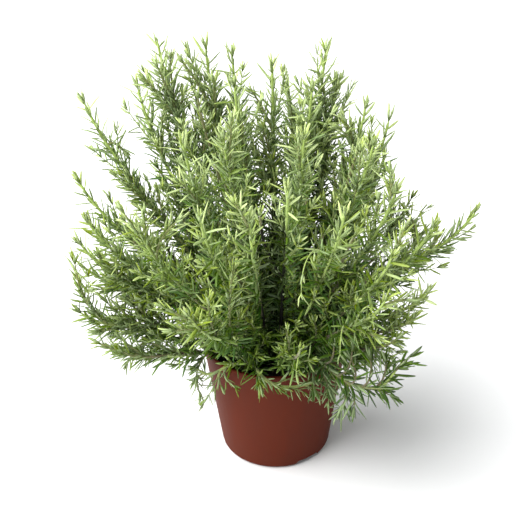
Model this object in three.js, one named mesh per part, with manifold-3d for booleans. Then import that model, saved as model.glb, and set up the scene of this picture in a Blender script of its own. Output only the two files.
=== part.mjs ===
import * as THREE from 'three';
import { mergeVertices } from 'three/addons/utils/BufferGeometryUtils.js';
import Module from 'manifold-3d';

// A rosemary plant in a round nursery pot, in millimetres and degrees.
// The origin is on the pot's axis at the surface it stands on. +Z is up, -Y is the front.
// Azimuth runs anticlockwise seen from above: 0 is right, 90 back, 180 left and -90 the front.

// Pot
const RIM_RADIUS = 60;
const POT_HEIGHT = 106;
const BASE_RADIUS = 45;
const WALL = 1.4;
const LIP_HEIGHT = 4;
const LIP_STEP = 0.8;
const LIP_ROUND = 0.7;
const FOOT_ROUND = 4;
const FOOT_RING = 2.2;
const FLOOR_LEVEL = 6;
const FLOOR_THICK = 1.6;
const POT_SIDES = 32;
const NOTCH_COUNT = 3;
const NOTCH_WIDTH = 27;
const NOTCH_HEIGHT = 4.8;
const FIRST_NOTCH = -55;
const DRAIN_COUNT = 5;
const DRAIN_RADIUS = 4;
const DRAIN_RING = 27;

// Soil
const FIT_GAP = 0.3;
const ROUND_FIT_GAP = 0.45;
const SOIL_LEVEL = 92;
const SOIL_EDGE_DROP = 3;
const SOIL_BUMP = 2.2;
const SOIL_RING = 28;
const SOIL_SIDES = 16;
const HOLE_DEPTH = 12;
const HOLE_LENGTH = 30;

// Leading shoots, whose tips give the bush its outline: the azimuth, reach and height of each tip
const LEADERS = [
  [150, 98, 342], [157, 110, 306], [133, 72, 333], [119, 60, 326], [89, 50, 320], [51, 65, 329],
  [30, 34, 312], [44, 68, 300], [15, 72, 297], [19, 94, 281], [-24, 78, 292], [140, 36, 314],
  [167, 145, 299], [174, 149, 240], [-163, 142, 238], [-163, 149, 220], [-168, 153, 200],
  [-161, 156, 165], [-35, 104, 268], [0, 155, 217], [-28, 128, 240], [-31, 130, 188], [-35, 124, 169],
  [-119, 106, 268], [-139, 124, 252], [-63, 104, 270], [-100, 101, 270], [-50, 125, 238],
  [-84, 86, 286], [-42, 120, 157], [-115, 141, 213], [-58, 130, 208], [-127, 58, 306], [-66, 52, 306],
  [-150, 74, 298], [-151, 133, 137], [-80, 100, 162],
];

// Filling shoots, spread over the back of the bush by the golden ratio
const FILL_COUNT = 15;
const GOLDEN_RATIO = 0.618034;
const FILL_START = 0.95;
const FILL_MIDDLE = 100;
const FILL_SWEEP = 100;
const FILL_REACH = 138;
const FILL_LOW = 132;
const FILL_TOP = 300;

// Shoots that arch over the rim: the azimuth, radius and height of points from foot to tip
const TRAILERS = [
  [
    [-109, 38, 80], [-107, 47, 103], [-103, 61, 112], [-95, 67, 107],
    [-83, 68, 103], [-70, 69, 103], [-58, 73, 108],
  ],
  [
    [-124, 38, 80], [-124, 47, 103], [-125, 61, 112], [-131, 67, 107],
    [-138, 71, 101], [-147, 76, 103],
  ],
  [
    [-66, 33, 80], [-62, 43, 106], [-59, 60, 117], [-57, 80, 116],
    [-54, 101, 114], [-49, 119, 120], [-46, 129, 140],
  ],
];

// Feet of the stems in the soil
const FOOT_SPACING = 7.4;
const FOOT_ROUNDS = 80;
const FOOT_INNER = 6;
const FOOT_SPREAD = 0.3;
const FOOT_LIMIT = 37;

// Stems
const STEM_FOOT_RADIUS = 1.6;
const STEM_TIP_RADIUS = 0.9;
const STEM_RINGS = 6;
const STEM_STEPS = 48;
const STEM_GAP = 5;
const STEM_SWAY = 12;
const FINEST_DETAIL = 0.06;
const RIM_PASS = 22;
const RISE_OVER_RIM = 15;
const RISE_AT_FOOT = 34;
const RISE_AT_TIP = 26;
const FOOT_PULL = 0.4;
const TIP_PULL = 0.28;
const NUDGES = [0, 4, -4, 8, -8, 12, -12, 16, -16];

// Side twigs
const TWIG_RADIUS = 1.1;
const TWIG_RINGS = 2;
const TWIG_STEPS = 14;
const TWIG_START = 0.34;
const TWIG_START_SPREAD = 0.26;
const TWIG_LENGTH = 0.28;
const TWIG_LENGTH_SPREAD = 0.12;
const TWIG_OPENING = 32;
const TWIG_TURNS = [20, 160, 70, 110, -20, 200];

// Needles. Turns are tried in order, as [degrees round the stem, degrees opened], until one is clear.
const NEEDLE_LENGTH = 15.5;
const NEEDLE_LENGTH_SPREAD = 5.5;
const NEEDLE_TIP_SHORTENING = 0.25;
const NEEDLE_RADIUS = 1.4;
const NEEDLE_SHOULDER = 0.32;
const NEEDLE_SINK = 0.5;
const NEEDLE_FLATNESS = 0.65;
const NEEDLE_SPACING = 16;
const NEEDLE_OPENING = 56;
const NEEDLE_CLOSING = 30;
const NEEDLE_SWAY = 8;
const NEEDLE_CLEARANCE = 2.8;
const STEM_CLEARANCE = 3;
const POT_CLEARANCE = 2;
const STEM_BARE_SHARE = 0.24;
const TWIG_BARE_SHARE = 0.2;
const NEEDLE_TURNS = [
  [0, 0], [35, 0], [-35, 0], [0, -18], [60, -12], [-60, -12], [90, 0], [-90, 0], [135, -12], [180, 0],
];

const UP = new THREE.Vector3(0, 0, 1);

const wasm = await Module();
wasm.setup();

const rad = THREE.MathUtils.degToRad;
const deg = THREE.MathUtils.radToDeg;

// A repeatable fraction from 0 to 1 for each index and salt
function scatter(index, salt) {
  const value = Math.sin(index * 12.9898 + salt * 78.233) * 43758.5453;
  return value - Math.floor(value);
}

const polar = (azimuth, reach, height) =>
  new THREE.Vector3(reach * Math.cos(rad(azimuth)), reach * Math.sin(rad(azimuth)), height);

// A unit vector from an azimuth and an elevation
const heading = (azimuth, elevation) =>
  polar(azimuth, Math.cos(rad(elevation)), Math.sin(rad(elevation)));

function toSolid(geometry) {
  const bare = geometry.clone();
  bare.deleteAttribute('normal');
  bare.deleteAttribute('uv');
  const merged = mergeVertices(bare, 1e-4);
  return new wasm.Manifold(new wasm.Mesh({
    numProp: 3,
    vertProperties: new Float32Array(merged.attributes.position.array),
    triVerts: new Uint32Array(merged.index.array),
  }));
}

function toMesh(solid, name, material) {
  const { vertProperties, triVerts } = solid.getMesh();
  const geometry = new THREE.BufferGeometry();
  geometry.setAttribute('position', new THREE.BufferAttribute(vertProperties, 3));
  geometry.setIndex(new THREE.BufferAttribute(triVerts, 1));
  geometry.computeVertexNormals();
  const mesh = new THREE.Mesh(geometry, material);
  mesh.name = name;
  return mesh;
}

// A body of revolution about Z from [radius, height] points
function turned(points, sides) {
  const profile = points.map(([radius, height]) => new THREE.Vector2(radius, height));
  return new THREE.LatheGeometry(profile, sides).rotateX(Math.PI / 2);
}

// The wall's outer radius at a height, below the lip, and its inner one
const wallOutside = (height) =>
  BASE_RADIUS + (RIM_RADIUS - LIP_STEP - BASE_RADIUS) * height / POT_HEIGHT;
const wallInside = (height) => wallOutside(height) - WALL;

// A thin moulded pot on a rounded standing ring, with a raised floor and a small lip
function makePot() {
  const lipFoot = POT_HEIGHT - LIP_HEIGHT;
  const floorTop = FLOOR_LEVEL + FLOOR_THICK;
  const footCorner = 0.3 * FOOT_ROUND;
  const shell = toSolid(turned([
    [0, FLOOR_LEVEL],
    [wallInside(FLOOR_LEVEL), FLOOR_LEVEL],
    [BASE_RADIUS - FOOT_ROUND - FOOT_RING, 0],
    [BASE_RADIUS - FOOT_ROUND, 0],
    [BASE_RADIUS - footCorner, footCorner],
    [wallOutside(FOOT_ROUND), FOOT_ROUND],
    [wallOutside(lipFoot), lipFoot],
    [RIM_RADIUS, lipFoot + LIP_STEP],
    [RIM_RADIUS, POT_HEIGHT - LIP_ROUND],
    [RIM_RADIUS - LIP_ROUND, POT_HEIGHT],
    [wallInside(POT_HEIGHT), POT_HEIGHT],
    [wallInside(floorTop), floorTop],
    [0, floorTop],
  ], POT_SIDES));
  const cutters = [];
  for (let i = 0; i < NOTCH_COUNT; i++) {
    cutters.push(footNotch(FIRST_NOTCH + i * 360 / NOTCH_COUNT));
  }
  for (let i = 0; i < DRAIN_COUNT; i++) {
    cutters.push(drainHole(90 + i * 360 / DRAIN_COUNT));
  }
  return shell.subtract(wasm.Manifold.union(cutters));
}

// A low arch cut through the standing ring, to let the water out
function footNotch(azimuth) {
  const arch = new THREE.Shape();
  arch.moveTo(-0.5 * NOTCH_WIDTH, -1);
  arch.lineTo(0.5 * NOTCH_WIDTH, -1);
  arch.lineTo(0.4 * NOTCH_WIDTH, NOTCH_HEIGHT);
  arch.lineTo(-0.4 * NOTCH_WIDTH, NOTCH_HEIGHT);
  arch.closePath();
  const cutter = new THREE.ExtrudeGeometry(arch, { depth: BASE_RADIUS, bevelEnabled: false });
  cutter.rotateX(Math.PI / 2).translate(0, -BASE_RADIUS / 3, 0).rotateZ(rad(azimuth + 90));
  return toSolid(cutter);
}

function drainHole(azimuth) {
  const hole = new THREE.CylinderGeometry(DRAIN_RADIUS, DRAIN_RADIUS, 4 * FLOOR_THICK, 8);
  const place = polar(azimuth, DRAIN_RING, FLOOR_LEVEL + FLOOR_THICK / 2);
  return toSolid(hole.rotateX(Math.PI / 2).translate(place.x, place.y, place.z));
}

// The tips of the filling shoots lie on a dome over the back of the bush
function fillTips() {
  const tips = [];
  for (let i = 0; i < FILL_COUNT; i++) {
    const turn = ((i + FILL_START) * GOLDEN_RATIO) % 1;
    const rise = (i + 0.5) / FILL_COUNT;
    const azimuth = FILL_MIDDLE + FILL_SWEEP * (2 * turn - 1);
    const reach = FILL_REACH * Math.sqrt(1 - rise ** 2) * (0.9 + 0.1 * scatter(i, 1));
    tips.push([azimuth, reach, FILL_LOW + (FILL_TOP - FILL_LOW) * rise]);
  }
  return tips;
}

// Feet start below their tips, further out the more a shoot leans, and push each other apart.
// The feet of the shoots that arch over the rim stay where they are.
function plantFeet(tips) {
  const fixed = TRAILERS.map(([[azimuth, radius]]) => polar(azimuth, radius, 0));
  const feet = tips.map(([azimuth, reach, height]) => {
    const lean = deg(Math.atan2(reach, height - SOIL_LEVEL));
    return polar(azimuth, FOOT_INNER + FOOT_SPREAD * lean, 0);
  });
  for (let round = 0; round < FOOT_ROUNDS; round++) {
    for (const foot of feet) {
      for (const other of [...fixed, ...feet]) {
        const apart = foot.clone().sub(other);
        const missing = FOOT_SPACING - apart.length();
        if (missing > 0 && other !== foot) {
          foot.addScaledVector(apart.normalize(), missing / 2);
        }
      }
      foot.clampLength(0, FOOT_LIMIT);
    }
  }
  return feet.map((foot) => foot.setZ(SOIL_LEVEL - HOLE_DEPTH));
}

// A stem's curve: up out of the soil and clear of the rim, out along its lean, up again at the tip
function stemCurve(foot, tip, sway) {
  const chord = tip.clone().sub(foot);
  const length = chord.length();
  const azimuth = deg(Math.atan2(chord.y, chord.x));
  const elevation = deg(Math.asin(chord.z / length));
  const flatness = Math.cos(rad(elevation));
  const toRim = RIM_RADIUS - Math.hypot(foot.x, foot.y);
  const overRim = deg(Math.atan2(POT_HEIGHT + RIM_PASS - foot.z, toRim)) + RISE_OVER_RIM;
  const start = heading(azimuth, Math.max(elevation + RISE_AT_FOOT * flatness ** 2, overRim));
  const end = heading(azimuth + sway, elevation + RISE_AT_TIP * flatness);
  return new THREE.CubicBezierCurve3(
    foot,
    foot.clone().addScaledVector(start, FOOT_PULL * length),
    tip.clone().addScaledVector(end, -TIP_PULL * length),
    tip,
  );
}

// Whether a curve's points all stay clear of the points of other curves
const isClear = (points, routes) => points.every(
  (point) => routes.every((route) => route.every((other) => point.distanceTo(other) > STEM_GAP)),
);

// A stem to a tip, its azimuth nudged by a few degrees where it would touch an earlier one
function settleStem([azimuth, reach, height], foot, sway, routes) {
  for (const nudge of NUDGES) {
    const curve = stemCurve(foot, polar(azimuth + nudge, reach, height), sway);
    if (isClear(curve.getSpacedPoints(STEM_STEPS), routes)) {
      return curve;
    }
  }
  throw new Error(`no room for the stem at azimuth ${azimuth}`);
}

// Two unit vectors across a curve, the first of them level
function crossAxes(tangent) {
  const level = new THREE.Vector3().crossVectors(tangent, UP).normalize();
  return [level, new THREE.Vector3().crossVectors(level, tangent)];
}

// The direction that opens from a tangent by one angle, turned round it by another
function branchOff(tangent, opening, turn) {
  const [level, over] = crossAxes(tangent);
  const out = level.multiplyScalar(Math.cos(rad(turn))).addScaledVector(over, Math.sin(rad(turn)));
  return out.multiplyScalar(Math.sin(rad(opening))).addScaledVector(tangent, Math.cos(rad(opening)));
}

// A side twig leaves its stem sideways or upwards and swings back beside it
function twigCurve(stem, index, routes) {
  const share = TWIG_START + TWIG_START_SPREAD * scatter(index, 3);
  const length = (TWIG_LENGTH + TWIG_LENGTH_SPREAD * scatter(index, 4)) * stem.getLength();
  const start = stem.getPointAt(share);
  const tangent = stem.getTangentAt(share);
  for (const turn of TWIG_TURNS) {
    const away = branchOff(tangent, TWIG_OPENING, turn);
    const middle = start.clone().addScaledVector(away, 0.5 * length);
    const end = middle.clone().addScaledVector(tangent, 0.45 * length).addScaledVector(UP, 0.08 * length);
    const curve = new THREE.QuadraticBezierCurve3(start, middle, end);
    if (isClear(curve.getSpacedPoints(TWIG_STEPS), routes)) {
      return curve;
    }
  }
  return null;
}

// Two cross axes at each ring of a curve, carried along it so that they don't spin round it
function ringAxes(curve, rings) {
  const axes = [crossAxes(curve.getTangentAt(0))];
  for (let i = 1; i <= rings; i++) {
    const tangent = curve.getTangentAt(i / rings);
    const across = axes[i - 1][0].clone().projectOnPlane(tangent).normalize();
    axes.push([across, new THREE.Vector3().crossVectors(across, tangent)]);
  }
  return axes;
}

// A tapered stem: a straight tube whose rings are moved onto the curve
function makeStem(curve, footRadius, tipRadius, sides, rings) {
  const tube = new THREE.CylinderGeometry(tipRadius, footRadius, 1, sides, rings);
  const places = tube.rotateY(Math.PI / sides).attributes.position;
  const axes = ringAxes(curve, rings);
  for (let i = 0; i < places.count; i++) {
    const ring = Math.round((places.getY(i) + 0.5) * rings);
    const [across, over] = axes[ring];
    const place = curve.getPointAt(ring / rings);
    place.addScaledVector(across, places.getX(i)).addScaledVector(over, places.getZ(i));
    places.setXYZ(i, place.x, place.y, place.z);
  }
  return toSolid(tube);
}

// The straight lines between a curve's rings
function chordsOf(curve, rings) {
  const points = curve.getSpacedPoints(rings);
  return points.slice(1).map((point, i) => new THREE.Line3(points[i], point));
}

// One leaf: a flattened three-sided spindle, from a point sunk in the stem to its own tip
function makeNeedle({ line, tangent }) {
  const direction = line.delta(new THREE.Vector3());
  const length = direction.length();
  direction.normalize();
  const across = new THREE.Vector3().crossVectors(direction, tangent).normalize();
  const face = new THREE.Vector3().crossVectors(direction, across);
  const root = line.start.clone().addScaledVector(direction, -NEEDLE_SINK);
  const profile = [[0, 0], [NEEDLE_RADIUS, NEEDLE_SHOULDER * length], [0, length + NEEDLE_SINK]];
  const leaf = turned(profile, 3).scale(1, NEEDLE_FLATNESS, 1);
  leaf.applyMatrix4(new THREE.Matrix4().makeBasis(across, face, direction).setPosition(root));
  return toSolid(leaf);
}

// Whether a needle stays clear of the pot and of every other shoot
function needleIsClear(line, shoot, shoots) {
  for (const share of [0.3, 0.65, 1]) {
    const point = line.at(share, new THREE.Vector3());
    const overPot = Math.hypot(point.x, point.y) < RIM_RADIUS + POT_CLEARANCE;
    if (overPot && point.z < POT_HEIGHT + POT_CLEARANCE) {
      return false;
    }
  }
  return shoots.every((other) => other === shoot || (
    other.chords.every((chord) => line.distanceSqToLine3(chord) > STEM_CLEARANCE ** 2)
    && other.needles.every((needle) => line.distanceSqToLine3(needle.line) > NEEDLE_CLEARANCE ** 2)));
}

// Needles stand on alternate sides, each pair turned a quarter round, closing up at the tip
function growNeedles(curve, bareShare, shoot, shoots, salt) {
  const count = Math.round((1 - bareShare) * curve.getLength() / NEEDLE_SPACING);
  for (let i = 0; i <= count; i++) {
    const share = bareShare + (1 - bareShare) * (i + 0.3) / (count + 0.6);
    const tangent = curve.getTangentAt(share);
    const root = curve.getPointAt(share);
    const turn = 180 * i + 90 * Math.floor(i / 2) + NEEDLE_SWAY * (2 * scatter(i, salt) - 1);
    const fullLength = NEEDLE_LENGTH + NEEDLE_LENGTH_SPREAD * scatter(i, salt + 1);
    const length = fullLength * (1 - NEEDLE_TIP_SHORTENING * share ** 4);
    for (const [twist, fold] of NEEDLE_TURNS) {
      const opening = NEEDLE_OPENING - NEEDLE_CLOSING * share ** 2 + fold;
      const direction = branchOff(tangent, opening, turn + twist);
      const line = new THREE.Line3(root, root.clone().addScaledVector(direction, length));
      if (needleIsClear(line, shoot, shoots)) {
        shoot.needles.push({ line, tangent });
        break;
      }
    }
  }
}

// Every shoot: all the stems first, then side twigs on every other one, then the needles
function planShoots() {
  const stems = TRAILERS.map((points) => new THREE.CatmullRomCurve3(points.map((point) => polar(...point))));
  const routes = stems.map((stem) => stem.getSpacedPoints(STEM_STEPS));
  const tips = [...LEADERS, ...fillTips()];
  plantFeet(tips).forEach((foot, i) => {
    const stem = settleStem(tips[i], foot, STEM_SWAY * (2 * scatter(i, 2) - 1), routes);
    stems.push(stem);
    routes.push(stem.getSpacedPoints(STEM_STEPS));
  });
  const shoots = stems.map((stem) => ({ stem, chords: chordsOf(stem, STEM_RINGS), needles: [] }));
  for (let i = TRAILERS.length; i < stems.length; i += 2) {
    const twig = twigCurve(stems[i], i, routes.filter((route, j) => j !== i));
    if (twig) {
      shoots[i].twig = twig;
      shoots[i].chords.push(...chordsOf(twig, TWIG_RINGS));
      routes.push(twig.getSpacedPoints(TWIG_STEPS));
    }
  }
  shoots.forEach((shoot, i) => {
    growNeedles(shoot.stem, STEM_BARE_SHARE, shoot, shoots, 10 + i);
    if (shoot.twig) {
      growNeedles(shoot.twig, TWIG_BARE_SHARE, shoot, shoots, 110 + i);
    }
  });
  return shoots;
}

// A leafy shoot in one body, without the slivers that a join leaves; a loose needle would be dropped
function makeShoot({ stem, twig, needles }) {
  const parts = [makeStem(stem, STEM_FOOT_RADIUS, STEM_TIP_RADIUS, 4, STEM_RINGS)];
  if (twig) {
    parts.push(makeStem(twig, TWIG_RADIUS, STEM_TIP_RADIUS, 3, TWIG_RINGS));
  }
  parts.push(...needles.map(makeNeedle));
  const bodies = wasm.Manifold.union(parts).decompose();
  return bodies.sort((a, b) => b.volume() - a.volume())[0].simplify(FINEST_DETAIL);
}

// A plain hole round the sunken end of a stem
function stemHole({ stem }) {
  const foot = stem.getPointAt(0);
  const along = stem.getPointAt(1 / STEM_RINGS).sub(foot).normalize();
  const path = new THREE.LineCurve3(
    foot.clone().addScaledVector(along, -FIT_GAP),
    foot.clone().addScaledVector(along, HOLE_LENGTH),
  );
  const radius = STEM_FOOT_RADIUS + ROUND_FIT_GAP;
  return makeStem(path, radius, radius, 4, 1);
}

// Soil fills the pot to just below the rim, gently lumpy, with a hole for each stem
function makeSoil(shoots) {
  const low = FLOOR_LEVEL + FLOOR_THICK + FIT_GAP;
  const edge = SOIL_LEVEL - SOIL_EDGE_DROP;
  const soil = turned([
    [0, low],
    [wallInside(low) - ROUND_FIT_GAP, low],
    [wallInside(edge) - ROUND_FIT_GAP, edge],
    [SOIL_RING, SOIL_LEVEL],
    [0, SOIL_LEVEL],
  ], SOIL_SIDES);
  const places = soil.attributes.position;
  for (let i = 0; i < places.count; i++) {
    if (places.getZ(i) > edge) {
      const wave = Math.sin(0.13 * places.getX(i) + 1) * Math.cos(0.11 * places.getY(i) + 0.4);
      places.setZ(i, places.getZ(i) + SOIL_BUMP * wave);
    }
  }
  return toSolid(soil).subtract(wasm.Manifold.union(shoots.map(stemHole)));
}

const terracottaPlastic = new THREE.MeshStandardMaterial({ color: '#7d4535', roughness: 0.62, metalness: 0 });
const compost = new THREE.MeshStandardMaterial({ color: '#2b211a', roughness: 1, metalness: 0 });

// Each shoot has a green of its own, from grey-green to yellow-green
function leafGreen(index) {
  const color = new THREE.Color('#5f8a3a').offsetHSL(-0.03 * scatter(index, 5), 0, 0.08 * scatter(index, 6));
  return new THREE.MeshStandardMaterial({ color, roughness: 0.55, metalness: 0 });
}

const shoots = planShoots();
const group = new THREE.Group();
group.add(toMesh(makePot(), 'pot', terracottaPlastic));
group.add(toMesh(makeSoil(shoots), 'soil', compost));
shoots.forEach((shoot, i) => {
  const number = i - TRAILERS.length + 1;
  const name = number > 0 ? `shoot_${number}` : `trailing_shoot_${i + 1}`;
  group.add(toMesh(makeShoot(shoot), name, leafGreen(i)));
});

export default group;
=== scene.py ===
import math
from dataclasses import dataclass

import bmesh
import bpy
import numpy as np
from bpy.props import FloatProperty, FloatVectorProperty, IntProperty, PointerProperty
from mathutils import Matrix, Vector, noise


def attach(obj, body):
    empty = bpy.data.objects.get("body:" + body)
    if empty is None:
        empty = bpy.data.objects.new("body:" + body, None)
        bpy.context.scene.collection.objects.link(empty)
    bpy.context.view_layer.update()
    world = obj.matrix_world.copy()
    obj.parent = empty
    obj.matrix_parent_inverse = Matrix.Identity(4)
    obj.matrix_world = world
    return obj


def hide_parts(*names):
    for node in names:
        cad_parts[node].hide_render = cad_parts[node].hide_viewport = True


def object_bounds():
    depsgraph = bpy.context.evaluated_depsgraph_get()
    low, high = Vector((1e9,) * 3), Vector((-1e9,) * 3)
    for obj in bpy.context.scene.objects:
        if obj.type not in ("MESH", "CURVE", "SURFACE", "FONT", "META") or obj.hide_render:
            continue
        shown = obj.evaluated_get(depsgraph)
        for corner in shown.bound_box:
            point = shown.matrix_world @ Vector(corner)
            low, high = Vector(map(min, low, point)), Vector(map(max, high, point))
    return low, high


bl_info = {
    "name": "Potted Rosemary",
    "version": (1, 0, 0),
    "blender": (4, 5, 0),
    "location": "3D View > Sidebar > Rosemary",
    "description": "Dresses a packed model of a rosemary plant in a nursery pot",
    "category": "Add Mesh",
}

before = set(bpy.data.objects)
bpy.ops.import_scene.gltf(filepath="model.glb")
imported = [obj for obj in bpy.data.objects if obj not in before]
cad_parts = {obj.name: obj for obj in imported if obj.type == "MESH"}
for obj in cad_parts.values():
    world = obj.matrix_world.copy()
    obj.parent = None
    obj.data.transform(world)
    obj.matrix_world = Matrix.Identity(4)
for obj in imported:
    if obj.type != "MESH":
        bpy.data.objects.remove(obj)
CAD_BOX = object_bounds()

# The plant is planned in millimetres and degrees, as in its solid model. Meshes are in metres.
# Azimuth runs anticlockwise seen from above: 0 is right, 90 back, 180 left and -90 the front.
MM = 0.001
BODY = "root"

# Pot
RIM_RADIUS = 60
POT_HEIGHT = 106
BASE_RADIUS = 45
WALL = 1.4
LIP_HEIGHT = 4
LIP_STEP = 0.8
LIP_ROUND = 0.7
LIP_EASE = (0.1, 0.5)
EDGE_ROUND = 0.3
FLOOR_HOLLOW = 1
FOOT_ROUND = 4
FOOT_RING = 2.2
FLOOR_LEVEL = 6
FLOOR_THICK = 1.6
NOTCH_COUNT = 3
NOTCH_WIDTH = 27
NOTCH_HEIGHT = 4.8
NOTCH_CORNER = 3
NOTCH_TOP = 0.8
FIRST_NOTCH = -55
DRAIN_COUNT = 5
DRAIN_RADIUS = 4
DRAIN_RING = 27
FIRST_DRAIN = 90
DRAIN_SIDES = 32
POT_SIDES = 192
WALL_POINTS = 24
SHARP_EDGE = 40

# Compost
FIT_GAP = 0.45
SOIL_LEVEL = 92
SOIL_EDGE_DROP = 3
SOIL_BUMP = 2.2
LUMP_WIDTH = 6
SMALL_LUMP_WIDTH = 2.4
LUMP_HEIGHT = 0.9
SOIL_RING = 28
SOIL_SIDES = 120
SOIL_RINGS = 44

# Crumbs, in shares of their size but for the clearance from the wall and the tilt in radians
CRUMB_LOG_SIZE = (-0.1, 0.35)
CRUMB_SHAPE = ((0.7, 1.5), (0.5, 0.9), (0.35, 0.7))
CRUMB_LIFT = 0.15
CRUMB_ROUGHNESS = 0.12
CRUMB_CLEARANCE = 2
CRUMB_TILT = 0.5

# Leading shoots: the azimuth, reach and height of each tip
LEADERS = [
    (150, 98, 342), (157, 110, 306), (133, 72, 333), (119, 60, 326), (89, 50, 320), (51, 65, 329),
    (30, 34, 312), (44, 68, 300), (15, 72, 297), (19, 94, 281), (-24, 78, 292), (140, 36, 314),
    (167, 145, 299), (174, 149, 240), (-163, 142, 238), (-163, 149, 220), (-168, 153, 200),
    (-161, 156, 165), (-35, 104, 268), (0, 155, 217), (-28, 128, 240), (-31, 130, 188), (-35, 124, 169),
    (-119, 106, 268), (-139, 124, 252), (-63, 104, 270), (-100, 101, 270), (-50, 125, 238),
    (-84, 86, 286), (-42, 120, 157), (-115, 141, 213), (-58, 130, 208), (-127, 58, 306), (-66, 52, 306),
    (-150, 74, 298), (-151, 133, 137), (-80, 100, 162),
]

# Filling shoots, spread over the back of the bush by the golden ratio
FILL_COUNT = 15
GOLDEN_RATIO = 0.618034
FILL_START = 0.95
FILL_MIDDLE = 100
FILL_SWEEP = 100
FILL_REACH = 138
FILL_LOW = 132
FILL_TOP = 300

# Shoots that arch over the rim: the azimuth, radius and height of points from foot to tip
TRAILERS = [
    [
        (-109, 38, 80), (-107, 47, 103), (-103, 61, 112), (-95, 67, 107),
        (-83, 68, 103), (-70, 69, 103), (-58, 73, 108),
    ],
    [
        (-124, 38, 80), (-124, 47, 103), (-125, 61, 112), (-131, 67, 107),
        (-138, 71, 101), (-147, 76, 103),
    ],
    [
        (-66, 33, 80), (-62, 43, 106), (-59, 60, 117), (-57, 80, 116),
        (-54, 101, 114), (-49, 119, 120), (-46, 129, 140),
    ],
]

# Feet of the stems in the compost
FOOT_SPACING = 7.4
FOOT_ROUNDS = 80
FOOT_INNER = 6
FOOT_SPREAD = 0.3
FOOT_LIMIT = 37
HOLE_DEPTH = 12

# Stems and side twigs, on the routes of the solid model
STEM_FOOT_RADIUS = 1.6
STEM_TIP_RADIUS = 1
STEM_STEPS = 48
STEM_GAP = 5
STEM_SWAY = 12
RIM_PASS = 22
RISE_OVER_RIM = 15
RISE_AT_FOOT = 34
RISE_AT_TIP = 26
FOOT_PULL = 0.4
TIP_PULL = 0.28
NUDGES = [0, 4, -4, 8, -8, 12, -12, 16, -16]
TWIG_RADIUS = 1.1
TWIG_STEPS = 14
TWIG_START = 0.34
TWIG_START_SPREAD = 0.26
TWIG_LENGTH = 0.28
TWIG_LENGTH_SPREAD = 0.12
TWIG_SWING = 0.45
TWIG_RISE = 0.08
TWIG_OPENING = 32
TWIG_TURNS = [20, 160, 70, 110, -20, 200]
ROUTE_MARKS = 200

# Leaves: the section runs over the upper face from one rolled edge to the other, in half widths, and
# the underside closes it. A ring is a share of the length with a share of the width.
LEAF_SECTION = np.array([(-1, -0.3), (-0.6, 0.14), (0, -0.02), (0.6, 0.14), (1, -0.3)])
SHORT_LEAF_SECTION = np.array([(-1, -0.3), (-0.5, 0.13), (0.5, 0.13), (1, -0.3)])
SMALL_LEAF_SECTION = np.array([(-1, -0.25), (0, 0.14), (1, -0.25)])
LONG_LEAF_RINGS = np.array([(0, 0.42), (0.2, 0.9), (0.58, 1), (0.9, 0.56)])
SHORT_LEAF_RINGS = np.array([(0, 0.42), (0.4, 1), (0.84, 0.68)])
STEM_SIDES = 6
CELL_MARGIN = 0.05

# Finishes: their names, and the real sizes of their patterns
LEAF_FINISH = "rosemary leaf, waxed above and felted below"
STEM_FINISH = "rosemary stem, downy green to fissured bark"
LEAF_BLOTCH = 5
LEAF_PIT = 0.5
BARK_FISSURE = 1.4
MOULD_GRAIN = 0.9
FLOW_MARK = 14
FLOW_STRETCH = 0.16
PEAT_CRUMB = 3.5


def linear(code):
    """A hex sRGB colour as three linear values."""
    parts = [int(code[i:i + 2], 16) / 255 for i in (1, 3, 5)]
    return tuple(c / 12.92 if c <= 0.04045 else ((c + 0.055) / 1.055) ** 2.4 for c in parts)


def colour(name, description, code):
    """A colour setting, from a hex sRGB colour."""
    return FloatVectorProperty(
        name=name, description=description, default=linear(code), subtype="COLOR", size=3, min=0, max=1)


def millimetres(name, description, value):
    """A length setting, from millimetres."""
    return FloatProperty(name=name, description=description, default=value * MM, unit="LENGTH")


class PotSettings(bpy.types.PropertyGroup):
    plastic: colour("Plastic", "Terracotta brown of the moulded pot", "#552213")
    roughness: FloatProperty(
        name="Roughness", description="Roughness of the moulded wall", default=0.6, min=0, max=1)


class CompostSettings(bpy.types.PropertyGroup):
    peat: colour("Peat", "Dark moist peat", "#231a14")
    bark: colour("Bark", "Lighter crumbs of bark and fibre", "#5a4330")
    crumbs: IntProperty(
        name="Crumbs", description="Loose crumbs on the surface", default=620, min=0, max=3000)
    crumb_size: millimetres("Crumb size", "Width of a middling crumb", 2.6)


class LeafSettings(bpy.types.PropertyGroup):
    leaf_length: millimetres("Leaf length", "Length of a full-grown leaf", 16.5)
    leaf_width: millimetres("Leaf width", "Width of a full-grown leaf", 2.2)
    leaf_spacing: millimetres("Leaf spacing", "Stem between one leaf pair and the next", 2.3)
    mature: colour("Mature leaf", "Upper face of an old leaf", "#436a29")
    young: colour("Young leaf", "Upper face of a leaf near the tip", "#bac97d")
    felt: colour("Felt", "Pale felt under a leaf", "#adc08e")
    green_stem: colour("Green stem", "Stem near its tip", "#9db45a")
    wood: colour("Wood", "Bark of an old stem", "#6b5a46")


class StageSettings(bpy.types.PropertyGroup):
    floor: colour("Floor", "Matt white board", "#f4f4f4")
    distance: FloatProperty(
        name="Camera distance", description="From the middle of the picture", default=0.95, unit="LENGTH")
    elevation: FloatProperty(
        name="Camera elevation", description="Angle above the horizon", default=math.radians(32.3),
        subtype="ANGLE")


def add_node(tree, kind, inputs=None, **settings):
    """Adds a shader node with its properties, and fills its inputs with values, sockets or the first
    outputs of other nodes."""
    node = tree.nodes.new(f"ShaderNode{kind}")
    for name, value in settings.items():
        setattr(node, name, value)
    for name, value in (inputs or {}).items():
        if isinstance(value, bpy.types.Node):
            value = value.outputs[0]
        if isinstance(value, bpy.types.NodeSocket):
            tree.links.new(value, node.inputs[name])
        else:
            node.inputs[name].default_value = value
    return node


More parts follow.
